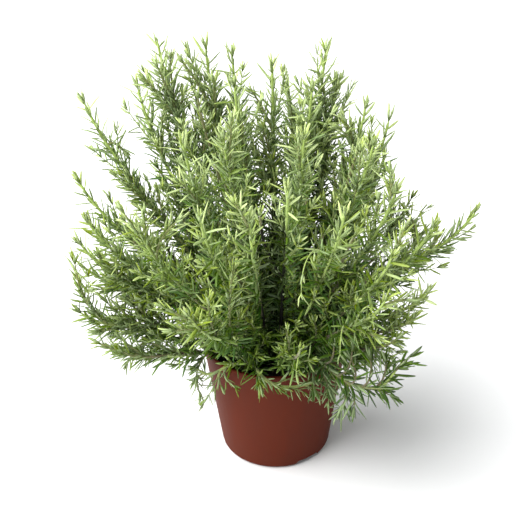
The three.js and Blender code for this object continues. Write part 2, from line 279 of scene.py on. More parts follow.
def new_material(name):
    """An empty node material and its tree."""
    material = bpy.data.materials.new(name)
    material.use_nodes = True
    material.node_tree.nodes.clear()
    return material, material.node_tree


def opaque(rgb):
    """A colour with full alpha, as a node's input takes it."""
    return (*rgb, 1)


def around(count):
    """Evenly spaced turns round a circle, in radians."""
    return [2 * math.pi * i / count for i in range(count)]


def scatter(index, salt):
    """A repeatable fraction from 0 to 1 for each index and salt."""
    value = math.sin(index * 12.9898 + salt * 78.233) * 43758.5453
    return value - math.floor(value)


def polar(azimuth, reach, height):
    """A place from an azimuth in degrees, a reach from the pot's axis and a height."""
    turn = math.radians(azimuth)
    return np.array([reach * math.cos(turn), reach * math.sin(turn), height])


def heading(azimuth, elevation):
    """A unit vector from an azimuth and an elevation."""
    rise = math.radians(elevation)
    return polar(azimuth, math.cos(rise), math.sin(rise))


def unit(vectors):
    """Vectors at a length of 1."""
    return vectors / np.linalg.norm(vectors, axis=-1, keepdims=True)


def bezier(points):
    """A Bezier curve's point function, from three or four control points."""
    degree = len(points) - 1

    def point(t):
        weights = [math.comb(degree, i) * t ** i * (1 - t) ** (degree - i) for i in range(degree + 1)]
        return np.stack(weights, axis=-1) @ np.array(points)
    return point


def spline(points):
    """The point function of a centripetal Catmull-Rom curve through all the points."""
    last = len(points) - 1
    guides = [2 * points[0] - points[1], *points, 2 * points[-1] - points[-2]]

    def one(t):
        span = min(int(t * last), last - 1)
        share = t * last - span
        before, start, end, after = guides[span:span + 4]
        lead, step, tail = (
            np.sqrt(np.linalg.norm(b - a)) for a, b in ((before, start), (start, end), (end, after)))
        out = step * ((start - before) / lead - (end - before) / (lead + step) + (end - start) / step)
        into = step * ((end - start) / step - (after - start) / (step + tail) + (after - end) / tail)
        square = 3 * (end - start) - 2 * out - into
        cube = 2 * (start - end) + out + into
        return start + share * (out + share * (square + share * cube))

    def point(t):
        return np.array([one(value) for value in np.atleast_1d(t)])
    return point


class Route:
    """A curve that is read by shares of its length."""

    def __init__(self, point):
        self.point = point
        self.times = np.linspace(0, 1, ROUTE_MARKS + 1)
        steps = np.linalg.norm(np.diff(point(self.times), axis=0), axis=1)
        self.marks = np.concatenate([[0], np.cumsum(steps)])
        self.length = self.marks[-1]

    def at(self, shares):
        """Points at shares of the length."""
        return self.point(np.interp(np.atleast_1d(shares) * self.length, self.marks, self.times))

    def headings(self, shares):
        """Unit vectors along the curve at shares of its length."""
        times = np.interp(np.atleast_1d(shares) * self.length, self.marks, self.times)
        step = 1e-4
        return unit(self.point(np.minimum(times + step, 1)) - self.point(np.maximum(times - step, 0)))

    def axes(self, shares):
        """Points, headings and two cross axes that don't spin round the curve."""
        headings = self.headings(shares)
        across = np.empty_like(headings)
        side = np.cross(self.headings(0)[0], (0, 0, 1))
        for i, ahead in enumerate(headings):
            side = side - ahead * (side @ ahead)
            side = side / np.linalg.norm(side)
            across[i] = side
        return self.at(shares), headings, across, np.cross(across, headings)


def fill_tips():
    """The tips of the filling shoots lie on a dome over the back of the bush."""
    tips = []
    for i in range(FILL_COUNT):
        turn = ((i + FILL_START) * GOLDEN_RATIO) % 1
        rise = (i + 0.5) / FILL_COUNT
        reach = FILL_REACH * math.sqrt(1 - rise ** 2) * (0.9 + 0.1 * scatter(i, 1))
        azimuth = FILL_MIDDLE + FILL_SWEEP * (2 * turn - 1)
        tips.append((azimuth, reach, FILL_LOW + (FILL_TOP - FILL_LOW) * rise))
    return tips


def plant_feet(tips):
    """Feet start below their tips, further out the more a shoot leans, and push each other apart."""
    fixed = [complex(*polar(*points[0])[:2]) for points in TRAILERS]
    feet = []
    for azimuth, reach, height in tips:
        lean = math.degrees(math.atan2(reach, height - SOIL_LEVEL))
        feet.append(complex(*polar(azimuth, FOOT_INNER + FOOT_SPREAD * lean, 0)[:2]))
    for _ in range(FOOT_ROUNDS):
        for i, foot in enumerate(feet):
            for other in fixed + feet[:i] + feet[i + 1:]:
                apart = foot - other
                missing = FOOT_SPACING - abs(apart)
                if missing > 0:
                    foot += apart / abs(apart) * missing / 2
            feet[i] = foot * min(1, FOOT_LIMIT / abs(foot))
    return [np.array([foot.real, foot.imag, SOIL_LEVEL - HOLE_DEPTH]) for foot in feet]


def stem_route(foot, tip, sway):
    """Up out of the soil and clear of the rim, out along its lean, and up again at the tip."""
    chord = tip - foot
    length = np.linalg.norm(chord)
    azimuth = math.degrees(math.atan2(chord[1], chord[0]))
    elevation = math.degrees(math.asin(chord[2] / length))
    flatness = math.cos(math.radians(elevation))
    to_rim = RIM_RADIUS - math.hypot(foot[0], foot[1])
    over_rim = math.degrees(math.atan2(POT_HEIGHT + RIM_PASS - foot[2], to_rim)) + RISE_OVER_RIM
    start = heading(azimuth, max(elevation + RISE_AT_FOOT * flatness ** 2, over_rim))
    end = heading(azimuth + sway, elevation + RISE_AT_TIP * flatness)
    return Route(bezier([foot, foot + FOOT_PULL * length * start, tip - TIP_PULL * length * end, tip]))


def is_clear(points, others):
    """Whether points all stay clear of the points of other routes."""
    return all(
        np.linalg.norm(points[:, None] - other[None], axis=2).min() > STEM_GAP for other in others)


def settle_stem(tip, foot, sway, taken):
    """A stem to a tip, its azimuth nudged by a few degrees where it would touch an earlier one."""
    azimuth, reach, height = tip
    for nudge in NUDGES:
        route = stem_route(foot, polar(azimuth + nudge, reach, height), sway)
        if is_clear(route.at(np.linspace(0, 1, STEM_STEPS + 1)), taken):
            return route
    raise RuntimeError(f"no room for the stem at azimuth {azimuth}")


def branch_off(ahead, opening, turn):
    """The direction that opens from a heading by one angle, turned round it by another."""
    level = unit(np.cross(ahead, (0, 0, 1)))
    over = np.cross(level, ahead)
    out = level * math.cos(math.radians(turn)) + over * math.sin(math.radians(turn))
    return out * math.sin(math.radians(opening)) + ahead * math.cos(math.radians(opening))


def twig_route(stem, index, taken):
    """A side twig leaves its stem sideways or upwards and swings back beside it."""
    share = TWIG_START + TWIG_START_SPREAD * scatter(index, 3)
    length = (TWIG_LENGTH + TWIG_LENGTH_SPREAD * scatter(index, 4)) * stem.length
    start = stem.at(share)[0]
    ahead = stem.headings(share)[0]
    for turn in TWIG_TURNS:
        middle = start + 0.5 * length * branch_off(ahead, TWIG_OPENING, turn)
        end = middle + TWIG_SWING * length * ahead + np.array([0, 0, TWIG_RISE * length])
        route = Route(bezier([start, middle, end]))
        if is_clear(route.at(np.linspace(0, 1, TWIG_STEPS + 1)), taken):
            return route
    return None


def plan_shoots():
    """The stems and the side twigs of the solid model, as [stem, twig or None] for each shoot."""
    steps = np.linspace(0, 1, STEM_STEPS + 1)
    stems = [Route(spline([polar(*point) for point in points])) for points in TRAILERS]
    taken = [stem.at(steps) for stem in stems]
    tips = LEADERS + fill_tips()
    for i, foot in enumerate(plant_feet(tips)):
        stem = settle_stem(tips[i], foot, STEM_SWAY * (2 * scatter(i, 2) - 1), taken)
        stems.append(stem)
        taken.append(stem.at(steps))
    shoots = [[stem, None] for stem in stems]
    for i in range(len(TRAILERS), len(stems), 2):
        twig = twig_route(stems[i], i, taken[:i] + taken[i + 1:])
        if twig:
            shoots[i][1] = twig
            taken.append(twig.at(np.linspace(0, 1, TWIG_STEPS + 1)))
    return shoots


# How a shoot branches, beyond its stem and twig. A pair of values is a range.
SEED = 20
GOLDEN_ANGLE = 137.5
STEM_BARE = 16
TWIG_BARE = 5
TWIG_VIGOUR = 0.9
TWIG_YOUTH = 0.25
BRANCH_RADIUS = 0.9
BRANCH_TAPER = 0.8
BRANCH_BARE = 4
BRANCH_VIGOUR = 0.9
BRANCH_YOUTH = 0.4
BRANCH_HANG = 0.5
BRANCH_SPREAD = 0.6
SPRIG_RADIUS = 0.65
SPRIG_TAPER = 0.5
SPRIG_BARE = 3
SPRIG_SPACING = 16.5
SPRIG_SLIP = 8
SPRIG_TOP_CLEAR = 38
SPRIG_LENGTH = (20, 54)
SPRIG_SHORTENING = 0.35
SPRIG_OPENING = (24, 46)
SPRIG_TURN_SLIP = 25
SPRIG_OUT = 0.3
SPRIG_AHEAD = 0.22
SPRIG_RISE = 0.1
SPRIG_VIGOUR = 0.78
SPRIG_YOUTH = 0.45
SPRIG_TOP_YOUTH = 0.4
SPRIG_HANG = 0.6
SPRIG_FREE = 0.3
LOW_SPRIGS = (20, 62)
LOW_SPRIG_COUNT = 2
TRAILING_HANG = 0.5
TRAILING_VIGOUR = (0.78, 0.78, 1.15)
TRAILING_YOUTH = (0.7, 0.7, 0.25)
# Above 1 the first two shoots are paler; the third shoot's 0.3 darkens its leaves as painted shade.
TRAILING_FRESH_AND_SHADE = (1.2, 1.2, 0.3)
TRAILING_GAP = (1.35, 1.35, 1.2)
WEAK_SHOOTS = {37: 0.72}

# Thickness of a stem along its length
BUD_STRETCH = 9
BUD_SLIMNESS = 0.55
NODE_SWELLING = 0.09
NODE_GAP = 4.6
STEM_RING_GAP = 3.2
STEM_END = 0.6
WOODY_STRETCH = (70, 170)

# How the leaf pairs stand and how long and wide they grow. The bend is a mean and a spread.
FIRST_PAIR = 1.0
PAIR_SLIP = (0.8, 1.2)
TIP_SPREAD = 1.8
TIP_STRETCH = (10, 50)
WEAK_SPACING = 0.6
WEAK_WIDTH = 0.5
LEAST_BUD_LENGTH = 0.7
YOUNG_STRETCH = 40
YOUTH_SLIP = 0.1
LEAF_TURN_SLIP = 26
LEAF_OPENING = (26, 62)
OLD_OPENING = 14
OLD_OPENING_STRETCH = (30, 130)
BUD_OPENING = 14
OLD_SHORTENING = 0.2
OLD_STRETCH = (60, 150)
LEAF_LENGTHS = (0.68, 1.22)
LEAF_WIDTHS = (0.75, 1.1)
LEAF_ROLL = 22
LEAF_TWIST = 20
LEAF_BEND = (-0.04, 0.13)
LEAF_SICKLE = 0.08
CURLY_SHARE = 0.12
CURLY_BEND = 0.32
LEAST_LEAF = 0.55
LEAF_TESTS = np.array([0.35, 0.7, 1])
LONG_LEAF_VIGOUR = 0.92

# Small leaves in the axils and at the tip
AXIL_LEAVES = 0.8
AXIL_STRETCH = (2, 9)
AXIL_TURN_SLIP = 60
AXIL_OPENING = (8, 38)
AXIL_LENGTH = (0.34, 0.7)
AXIL_WIDTHS = (0.6, 0.95)
SMALL_LEAF_YOUTH = (0.05, 0.35)
TIP_LEAVES = 5
TIP_SETBACK = (0.5, 3)
TIP_OPENING = (4, 20)
TIP_LENGTH = (0.5, 0.75)
TIP_WIDTHS = (0.75, 1)

# Further twigs on each shoot: the share of the stem where one leaves it, and the azimuth, reach and
# height of its tip. Shoots -2 to 0 are those that arch over the rim.
BRANCHES = {
    -2: [
        (0.82, -62, 70, 90), (0.91, -52, 72, 89), (0.7, -72, 70, 96), (0.45, -86, 73, 106),
        (0.38, -99, 74, 103), (0.95, -58, 76, 85), (0.98, -46, 77, 98),
    ],
    -1: [(0.67, -128, 69, 93), (0.88, -148, 72, 74), (0.62, -116, 72, 102)],
    0: [
        (0.42, -59, 84, 145), (0.54, -54, 96, 145), (0.64, -54, 96, 135), (0.71, -50, 108, 141),
        (0.79, -48, 120, 143), (0.74, -47, 126, 112), (0.62, -55, 102, 94), (0.59, -60, 95, 90),
        (0.3, -68, 76, 104), (0.34, -60, 80, 101), (0.97, -43, 135, 149),
    ],
    1: [
        (0.75, 158, 91, 326), (0.73, 162, 100, 318), (0.78, 150, 87, 329), (0.76, 150, 75, 303),
        (0.62, 149, 67, 275), (0.56, 146, 57, 281),
    ],
    2: [(0.74, 157, 90, 285)],
    3: [(0.76, 148, 78, 326), (0.74, 138, 58, 312), (0.52, 141, 50, 257)],
    5: [
        (0.76, 110, 45, 301), (0.54, 107, 29, 234), (0.58, 101, 39, 260), (0.53, 111, 39, 254),
        (0.63, 102, 35, 273), (0.54, 91, 31, 248),
    ],
    6: [(0.69, 50, 45, 310), (0.51, 53, 44, 247), (0.59, 44, 49, 265), (0.46, 59, 46, 223)],
    8: [(0.82, 45, 69, 306), (0.76, 51, 61, 307), (0.68, 45, 54, 265), (0.59, 39, 55, 245)],
    9: [(0.82, 17, 56, 289), (0.83, 13, 50, 284), (0.67, 16, 54, 265), (0.59, 21, 49, 247)],
    11: [(0.75, -23, 68, 284)],
    12: [(0.76, 137, 30, 289), (0.62, 136, 28, 266), (0.51, 110, 24, 228)],
    13: [
        (0.54, 170, 113, 232), (0.49, 172, 104, 215), (0.61, 170, 121, 241), (0.52, 167, 92, 227),
        (0.85, 165, 118, 257), (0.67, 168, 114, 240),
    ],
    14: [(0.34, -176, 69, 178), (0.5, 178, 96, 194), (0.45, 174, 84, 192)],
    15: [(0.58, -168, 106, 191)],
    16: [
        (0.48, -162, 94, 169), (0.78, -164, 135, 206), (0.63, -162, 128, 196), (0.54, -162, 118, 180),
        (0.6, -167, 121, 154),
    ],
    17: [
        (0.54, -172, 112, 180), (0.66, -172, 139, 164), (0.64, -169, 129, 183), (0.57, -174, 115, 164),
        (0.52, -171, 109, 140),
    ],
    18: [
        (0.83, -161, 155, 209), (0.44, -158, 106, 117), (0.52, -161, 123, 109), (0.61, -165, 134, 163),
        (0.58, -161, 124, 148), (0.49, -166, 127, 128), (0.43, -164, 111, 117), (0.64, -166, 136, 147),
        (0.69, -163, 141, 140), (0.61, -162, 126, 161), (0.53, -161, 112, 165), (0.7, -164, 143, 137),
        (0.47, -160, 109, 149), (0.59, -164, 131, 145), (0.5, -164, 117, 162), (0.45, -163, 101, 157),
    ],
    19: [(0.92, -36, 100, 285), (0.73, -32, 88, 254)],
    20: [(0.72, -1, 126, 197), (0.46, -2, 103, 152), (0.72, 0, 133, 181)],
    21: [(0.49, -25, 92, 172)],
    22: [(0.79, -29, 123, 177)],
    23: [(0.73, -32, 114, 157), (0.61, -32, 107, 137), (0.47, -35, 85, 112), (0.53, -30, 98, 111)],
    25: [(0.92, -143, 131, 267), (0.85, -130, 103, 260), (0.88, -140, 118, 263)],
    26: [(0.49, -65, 74, 216)],
    27: [(0.93, -104, 111, 289), (0.2, -98, 56, 144)],
    28: [(0.5, -50, 88, 191), (0.93, -46, 127, 256)],
    30: [(0.56, -38, 96, 124)],
    31: [
        (0.48, -108, 94, 228), (0.31, -103, 68, 200), (0.67, -112, 124, 218), (0.38, -108, 86, 182),
        (0.2, -103, 66, 131), (0.84, -120, 143, 198), (0.79, -115, 135, 207), (0.92, -121, 148, 219),
    ],
    32: [(0.66, -54, 123, 171), (0.32, -65, 68, 160), (0.95, -46, 140, 205)],
    33: [(0.83, -123, 52, 319), (0.8, -128, 58, 304)],
    34: [(0.32, -99, 35, 145), (0.8, -70, 49, 303)],
    35: [(0.73, -147, 81, 271)],
    36: [
        (0.9, -154, 148, 146), (0.76, -155, 138, 136), (0.36, -145, 77, 95), (0.24, -132, 66, 140),
        (0.43, -144, 88, 158), (0.49, -153, 96, 121), (0.72, -155, 129, 128), (0.51, -154, 108, 133),
        (0.63, -156, 123, 123), (0.78, -156, 129, 140),
    ],
    37: [(0.52, -85, 84, 168)],
    39: [(0.92, 39, 130, 194), (0.88, 35, 143, 184), (0.9, 34, 142, 158)],
    40: [(0.85, 170, 147, 199), (0.74, 170, 127, 162), (0.81, 168, 139, 131)],
    42: [(0.9, 13, 109, 203), (0.67, 7, 116, 162), (0.78, 8, 128, 169)],
    48: [(0.84, 150, 85, 284), (0.96, 150, 94, 276)],
    49: [(0.87, 80, 71, 297), (0.81, 87, 76, 253), (0.66, 76, 67, 246), (0.74, 81, 66, 254)],
    50: [(0.93, 1, 72, 280)],
    51: [(0.7, 142, 44, 248)],
    52: [(0.85, 43, 27, 284)],
}

# Slim side stems that arch over and down, where the bush is open at its lower right front. The shape is
# how far out and how high each control point lies, in lengths.
ARCH_ACROSS = (0, 85)
ARCH_FRONT = -20
ARCH_HEIGHTS = (130, 230)
ARCH_SHARE = 0.2
ARCH_LENGTH = (34, 58)
ARCH_LIFT = 0.15
ARCH_SHAPE = [(0.3, 0.5), (0.85, 0.45), (0.8, -0.15)]
ARCH_VIGOUR = 0.6
ARCH_YOUTH = 0.9
ARCH_HANG = 0.2
ARCH_GAP = 2.4

# The narrow gap at the front of the bush, and how the leaves' age and tone change through the bush
# Leaves and stems in the gap, and those deep inside the bush, are darkened as painted shade; leaves high up
# are lightened as painted light.
CLEFT_MIDDLE = -1.5
CLEFT_HALF = 9
CLEFT_BACK = -22
CLEFT_SLOPE = 0.63
CLEFT_LOW = 115
CLEFT_TOP = 203
CLEFT_LEAVES = 0.55
CLEFT_PAINTED_SHADE_TONE = 0.04
BUSH_MIDDLE = (0, 20, 105)
BUSH_SIZE = (150, 135, 180)
INNER_RANGE = (0.36, 0.78)
INNER_PAINTED_SHADE_TONE = 0.35
INNER_YOUTH = 0.4
LEAST_TONE = 0.2
LOW_SHOOT_PAINTED_SHADE_TONE = 0.4
LOW_YOUTH = 0.45
LOW_STRETCH = (95, 190)
HIGH_PAINTED_LIGHT_TONE = 0.4
HIGH_PAINTED_LIGHT_STRETCH = (190, 300)

# Room for leaves: the band that the rim fills, how far in from the rim the outside of the pot is looked
# for, and the outer bounds of the plant
RIM_BAND = 3
WALL_BAND = 6
PLANT_LOW, PLANT_HIGH = (np.array(corner) / MM for corner in CAD_BOX)


def smooth(low, high, values):
    """A smooth step from 0 at the low value to 1 at the high one."""
    share = np.clip((values - low) / (high - low), 0, 1)
    return share * share * (3 - 2 * share)


def risen(least, share):
    """A factor that rises from a least value to 1 as a share goes from 0 to 1."""
    return least + (1 - least) * share


@dataclass
class Axis:
    """One leafy axis. Bare is how far its leaves stay off its foot, vigour how large they grow, youth how
    green the stem is, hang how far the leaves droop, fresh_and_shade how pale they are and, below 1, how far
    they are darkened as painted shade, gap how far apart they stand, and spread how much wider apart at the
    tip."""
    route: Route
    foot_radius: float
    tip_radius: float
    bare: float
    vigour: float
    youth: float
    hang: float = 0.0
    fresh_and_shade: float = 1.0
    gap: float = 1.0
    spread: float = TIP_SPREAD

    def radius(self, shares):
        """The stem's radius at shares of its length: tapered, and slim at the bud."""
        to_tip = (1 - shares) * self.route.length
        slimming = risen(BUD_SLIMNESS, smooth(0, BUD_STRETCH, to_tip))
        return (self.foot_radius + (self.tip_radius - self.foot_radius) * shares) * slimming


def sprig_places(axis, rng, rooted):
    """Distances of the sprigs from an axis's foot, with a few low ones on a rooted stem."""
    first = axis.bare + rng.uniform(0, SPRIG_SPACING)
    places = np.arange(first, axis.route.length - SPRIG_TOP_CLEAR, SPRIG_SPACING * axis.gap ** 2)
    if rooted:
        places = np.concatenate([places, rng.uniform(*LOW_SPRIGS, LOW_SPRIG_COUNT)])
    return places


def grow_sprigs(axis, rng, rooted):
    """Short side sprigs in the axils of a stem, at turns that step round it."""
    route = axis.route
    sprigs = []
    for i, place in enumerate(sprig_places(axis, rng, rooted)):
        share = (place + rng.uniform(-SPRIG_SLIP, SPRIG_SLIP)) / route.length
        start = route.at(share)[0]
        ahead = route.headings(share)[0]
        opening = rng.uniform(*SPRIG_OPENING)
        turn = GOLDEN_ANGLE * i + rng.uniform(-SPRIG_TURN_SLIP, SPRIG_TURN_SLIP)
        out = branch_off(ahead, opening, turn)
        length = rng.uniform(*SPRIG_LENGTH) * (1 - SPRIG_SHORTENING * share)
        if in_arch_zone(start) and rng.random() < ARCH_SHARE:
            sprig = arch_sprig(start, out, rng.uniform(*ARCH_LENGTH))
        else:
            sprig = short_sprig(axis, share, start, ahead, out, length)
        ends = sprig.route.at(np.linspace(SPRIG_FREE, 1, 4))
        if in_the_open(ends).all() and in_bounds(ends).all() and not in_cleft(ends).any():
            sprigs.append(sprig)
    return sprigs


def short_sprig(axis, share, start, ahead, out, length):
    """A sprig that opens from its stem and bends back beside it, as green and full as its stem is."""
    middle = start + 0.5 * length * out
    bent = length * (SPRIG_OUT * out + SPRIG_AHEAD * ahead)
    end = middle + bent + np.array([0, 0, SPRIG_RISE * length])
    youth = (SPRIG_YOUTH + SPRIG_TOP_YOUTH * share) * min(1, axis.fresh_and_shade ** 0.5)
    return Axis(
        Route(bezier([start, middle, end])), SPRIG_RADIUS, SPRIG_TAPER * SPRIG_RADIUS, SPRIG_BARE,
        SPRIG_VIGOUR * axis.gap ** 0.5, youth, SPRIG_HANG * axis.hang, axis.fresh_and_shade, axis.gap)


def in_arch_zone(point):
    """Whether a point is at the lower right front of the bush."""
    across, back, height = point
    low, high = ARCH_HEIGHTS
    return ARCH_ACROSS[0] < across < ARCH_ACROSS[1] and back < ARCH_FRONT and low < height < high


def arch_sprig(start, out, length):
    """A slim stem that goes up and out from its stem, then over and down."""
    level = unit(out * np.array([1, 1, ARCH_LIFT]))
    rise = np.array([0, 0, length])
    guides = [start + reach * length * level + high * rise for reach, high in ARCH_SHAPE]
    return Axis(
        Route(bezier([start, *guides])), SPRIG_RADIUS, SPRIG_TAPER * SPRIG_RADIUS, SPRIG_BARE,
        ARCH_VIGOUR, ARCH_YOUTH, ARCH_HANG, gap=ARCH_GAP)


def branch_route(stem, share, tip):
    """A further twig to a tip, which starts out between the stem's heading and the tip's."""
    start = stem.at(share)[0]
    length = np.linalg.norm(tip - start)
    lead = unit(stem.headings(share)[0] + (tip - start) / length)
    return Route(bezier([start, start + 0.5 * length * lead, tip]))


def in_bounds(points, margin=1.5):
    """Which points are inside the outer bounds of the plant."""
    return ((points > PLANT_LOW + margin) & (points < PLANT_HIGH - margin)).all(axis=-1)


def in_cleft(points):
    """Which points are in the narrow gap at the front of the bush, which rises towards the front."""
    height = points[..., 2] + CLEFT_SLOPE * points[..., 1]
    beside = np.abs(points[..., 0] - CLEFT_MIDDLE) < CLEFT_HALF
    return beside & (points[..., 1] < CLEFT_BACK) & (height > CLEFT_LOW) & (height < CLEFT_TOP)


def outerness(points):
    """How near points are to the outside of the bush, from 0 deep inside to 1 outside."""
    return smooth(*INNER_RANGE, np.linalg.norm((points - BUSH_MIDDLE) / BUSH_SIZE, axis=-1))


def in_the_open(points, margin=2.5):
    """Which points are clear of the pot's wall, its outside below the rim and the compost."""
    reach = np.hypot(points[..., 0], points[..., 1])
    height = points[..., 2]
    half = RIM_BAND / 2
    in_wall = (np.abs(reach - RIM_RADIUS + half) < half + margin) & (height < POT_HEIGHT + margin)
    in_pot = (reach < RIM_RADIUS) & (height < SOIL_LEVEL + margin)
    wall_here = BASE_RADIUS + (RIM_RADIUS - BASE_RADIUS) * height / POT_HEIGHT
    below_rim = (height <= POT_HEIGHT) & (reach < wall_here + margin) & (reach >= RIM_RADIUS - WALL_BAND)
    return ~(in_wall | in_pot | below_rim) & (height > margin)


def room_for(root, direction, lengths, margin=1.2):
    """Leaf lengths, cut back where the tip would pass the outer bounds of the plant."""
    wall = np.where(direction > 0, PLANT_HIGH - margin, PLANT_LOW + margin)
    with np.errstate(divide="ignore", invalid="ignore"):
        free = np.where(np.abs(direction) > 1e-6, (wall - root) / direction, np.inf)
    return np.minimum(lengths, np.maximum(free.min(axis=1), 0))


def pair_places(axis, rng, spacing):
    """Distances of the leaf pairs from an axis's tip: close below, wider apart towards the tip."""
    places = []
    place = FIRST_PAIR
    while place < axis.route.length - axis.bare:
        places.append(place)
        wider = 1 + axis.spread * (1 - smooth(*TIP_STRETCH, place))
        place += spacing * wider * rng.uniform(*PAIR_SLIP)
    return np.array(places)


def main_leaves(axis, rng, leaf_length, leaf_width, leaf_spacing):
    """The angles and sizes of an axis's leaves in crossed pairs, from the tip down."""
    spacing = leaf_spacing * risen(WEAK_SPACING, axis.vigour) * axis.gap
    to_tip = np.repeat(pair_places(axis, rng, spacing), 2)
    pair = np.arange(to_tip.size)
    bud = smooth(0, BUD_STRETCH / axis.gap ** 3, to_tip)
    turns = 180 * pair + 90 * (pair // 2) + rng.uniform(-LEAF_TURN_SLIP, LEAF_TURN_SLIP, pair.size)
    wider = OLD_OPENING * smooth(*OLD_OPENING_STRETCH, to_tip)
    openings = BUD_OPENING + (rng.uniform(*LEAF_OPENING, pair.size) + wider - BUD_OPENING) * bud
    old = 1 - OLD_SHORTENING * smooth(*OLD_STRETCH, to_tip)
    grown = leaf_length * axis.vigour * risen(LEAST_BUD_LENGTH, bud) * old
    lengths = grown * rng.uniform(*LEAF_LENGTHS, pair.size)
    youth = np.exp(-to_tip / YOUNG_STRETCH) + rng.normal(0, YOUTH_SLIP, pair.size)
    widths = leaf_width * rng.uniform(*LEAF_WIDTHS, pair.size)
    return dict(to_tip=to_tip, shares=1 - to_tip / axis.route.length, turns=turns, openings=openings,
                lengths=lengths, youth=youth, widths=widths)


def small_leaves(axis, rng, main, leaf_length, leaf_width):
    """The angles and sizes of the small leaves: some in the axils of the main ones, and some at the tip."""
    chance = AXIL_LEAVES * smooth(*AXIL_STRETCH, main["to_tip"]) * axis.vigour
    picks = np.repeat(np.arange(chance.size), rng.poisson(chance))
    tip_count = round(TIP_LEAVES * axis.vigour ** 2)
    size = picks.size + tip_count
    at_tip = np.arange(size) >= picks.size
    picks = np.concatenate([picks, np.zeros(tip_count, int)])

    def spread(tip_range, axil_range):
        return np.where(at_tip, rng.uniform(*tip_range, size), rng.uniform(*axil_range, size))

    end = 1 - rng.uniform(*TIP_SETBACK, size) / axis.route.length
    slip = rng.uniform(-AXIL_TURN_SLIP, AXIL_TURN_SLIP, size)
    return dict(
        shares=np.where(at_tip, end, main["shares"][picks]),
        turns=main["turns"][picks] + np.where(at_tip, GOLDEN_ANGLE * np.arange(size), slip),
        openings=spread(TIP_OPENING, AXIL_OPENING),
        lengths=leaf_length * axis.vigour * spread(TIP_LENGTH, AXIL_LENGTH),
        youth=main["youth"][picks] + rng.uniform(*SMALL_LEAF_YOUTH, size),
        widths=leaf_width * spread(TIP_WIDTHS, AXIL_WIDTHS),
    )


def leaf_rows(axis, rng, settings):
    """The placed leaves of one axis: the main ones, then the small ones."""
    length = settings.leaf_length / MM
    width = settings.leaf_width / MM * max(risen(WEAK_WIDTH, axis.vigour), axis.vigour ** 1.3)
    main = main_leaves(axis, rng, length, width, settings.leaf_spacing / MM)
    small = small_leaves(axis, rng, main, length, width)
    return [place_leaves(axis, rng, rows) for rows in (main, small)]


def turned(first, second, angles):
    """Two crossing directions after both are turned by the same angles, the first towards the second."""
    return first * np.cos(angles) + second * np.sin(angles), second * np.cos(angles) - first * np.sin(angles)


def place_leaves(axis, rng, rows):
    """Turns rows of angles and sizes into roots and directions, and keeps what has room."""
    order = np.argsort(rows["shares"], kind="stable")
    rows = {name: values[order] for name, values in rows.items() if name != "to_tip"}
    count = len(order)
    points, ahead, across, over = axis.route.axes(np.clip(rows["shares"], 0, 1))
    turn = np.radians(rows["turns"])[:, None]
    opening = np.radians(rows["openings"])[:, None]
    out = across * np.cos(turn) + over * np.sin(turn)
    direction = unit(out * np.sin(opening) + ahead * np.cos(opening) - np.array([0, 0, axis.hang]))
    root = points + out * 0.5 * axis.radius(rows["shares"])[:, None]
    upper = unit(ahead - direction * np.sum(ahead * direction, axis=1, keepdims=True))
    roll = np.radians(rng.normal(0, LEAF_ROLL, count))[:, None]
    upper, side = turned(upper, np.cross(upper, direction), roll)
    bend = rng.normal(*LEAF_BEND, count)
    bend = np.where(rng.random(count) < CURLY_SHARE, CURLY_BEND * np.sign(bend), bend)
    sickle = rng.normal(0, LEAF_SICKLE, count)
    to_end = direction + bend[:, None] * upper + sickle[:, None] * side
    length = room_for(root, to_end, rows["lengths"])
    reach = root[:, None] + direction[:, None] * length[:, None, None] * LEAF_TESTS[:, None]
    in_gap = in_cleft(reach).any(axis=1)
    youth, tone = leaf_ages(axis, rng, root, rows["youth"])
    # Leaves kept in the narrow front gap are darkened almost to black as painted shade.
    leaves = dict(root=root, direction=direction, upper=upper, side=side, bend=bend, length=length,
                  width=rows["widths"], youth=youth, tone=np.where(in_gap, CLEFT_PAINTED_SHADE_TONE * tone, tone),
                  bloom=rng.random(count) ** 2, sickle=sickle,
                  spin=np.radians(rng.normal(0, LEAF_TWIST, count)))
    kept_in_gap = rng.random(count) < CLEFT_LEAVES
    long_enough = length > LEAST_LEAF * rows["lengths"]
    keep = in_the_open(reach).all(axis=1) & long_enough & (~in_gap | kept_in_gap)
    return {name: values[keep] for name, values in leaves.items()}


def leaf_ages(axis, rng, root, youth):
    """How young and light leaves are: older low down and deep inside, with painted shade deep inside, and
    painted light high up.
    """
    outer = outerness(root)
    # Leaves high up are lightened as painted light.
    lighter = HIGH_PAINTED_LIGHT_TONE * smooth(*HIGH_PAINTED_LIGHT_STRETCH, root[:, 2])
    tone = (rng.uniform(LEAST_TONE, 1, len(root)) + lighter) * risen(INNER_PAINTED_SHADE_TONE, outer)
    # A shoot whose fresh_and_shade is below 1 is darkened as painted shade.
    tone = tone * risen(LOW_SHOOT_PAINTED_SHADE_TONE, min(1, axis.fresh_and_shade))
    younger = risen(LOW_YOUTH, smooth(*LOW_STRETCH, root[:, 2]))
    return np.clip(youth, 0, 1) * risen(INNER_YOUTH, outer) * younger * axis.fresh_and_shade, tone


class Growth:
    """The mesh of one shoot, gathered piece by piece. Each tube or leaf has a cell of the map."""

    def __init__(self):
        self.points = []
        self.growth = []
        self.faces = []
        self.uvs = []
        self.under = []
        self.wood = []
        self.point_count = 0
        self.cell_count = 0

    def add(self, points, growth, faces, uvs, cells, under, wood):
        """Adds points with their growth values, and faces with map places in numbered cells."""
        self.points.append(points.reshape(-1, 3))
        self.growth.append(growth.reshape(-1, 4))
        self.faces.extend((face + self.point_count).tolist() for face in faces)
        self.uvs.extend(zip(uvs, (cells + self.cell_count).tolist()))
        self.under.extend(under)
        self.wood.extend([wood] * len(faces))
        self.point_count += points.reshape(-1, 3).shape[0]
        self.cell_count += int(max(cells)) + 1


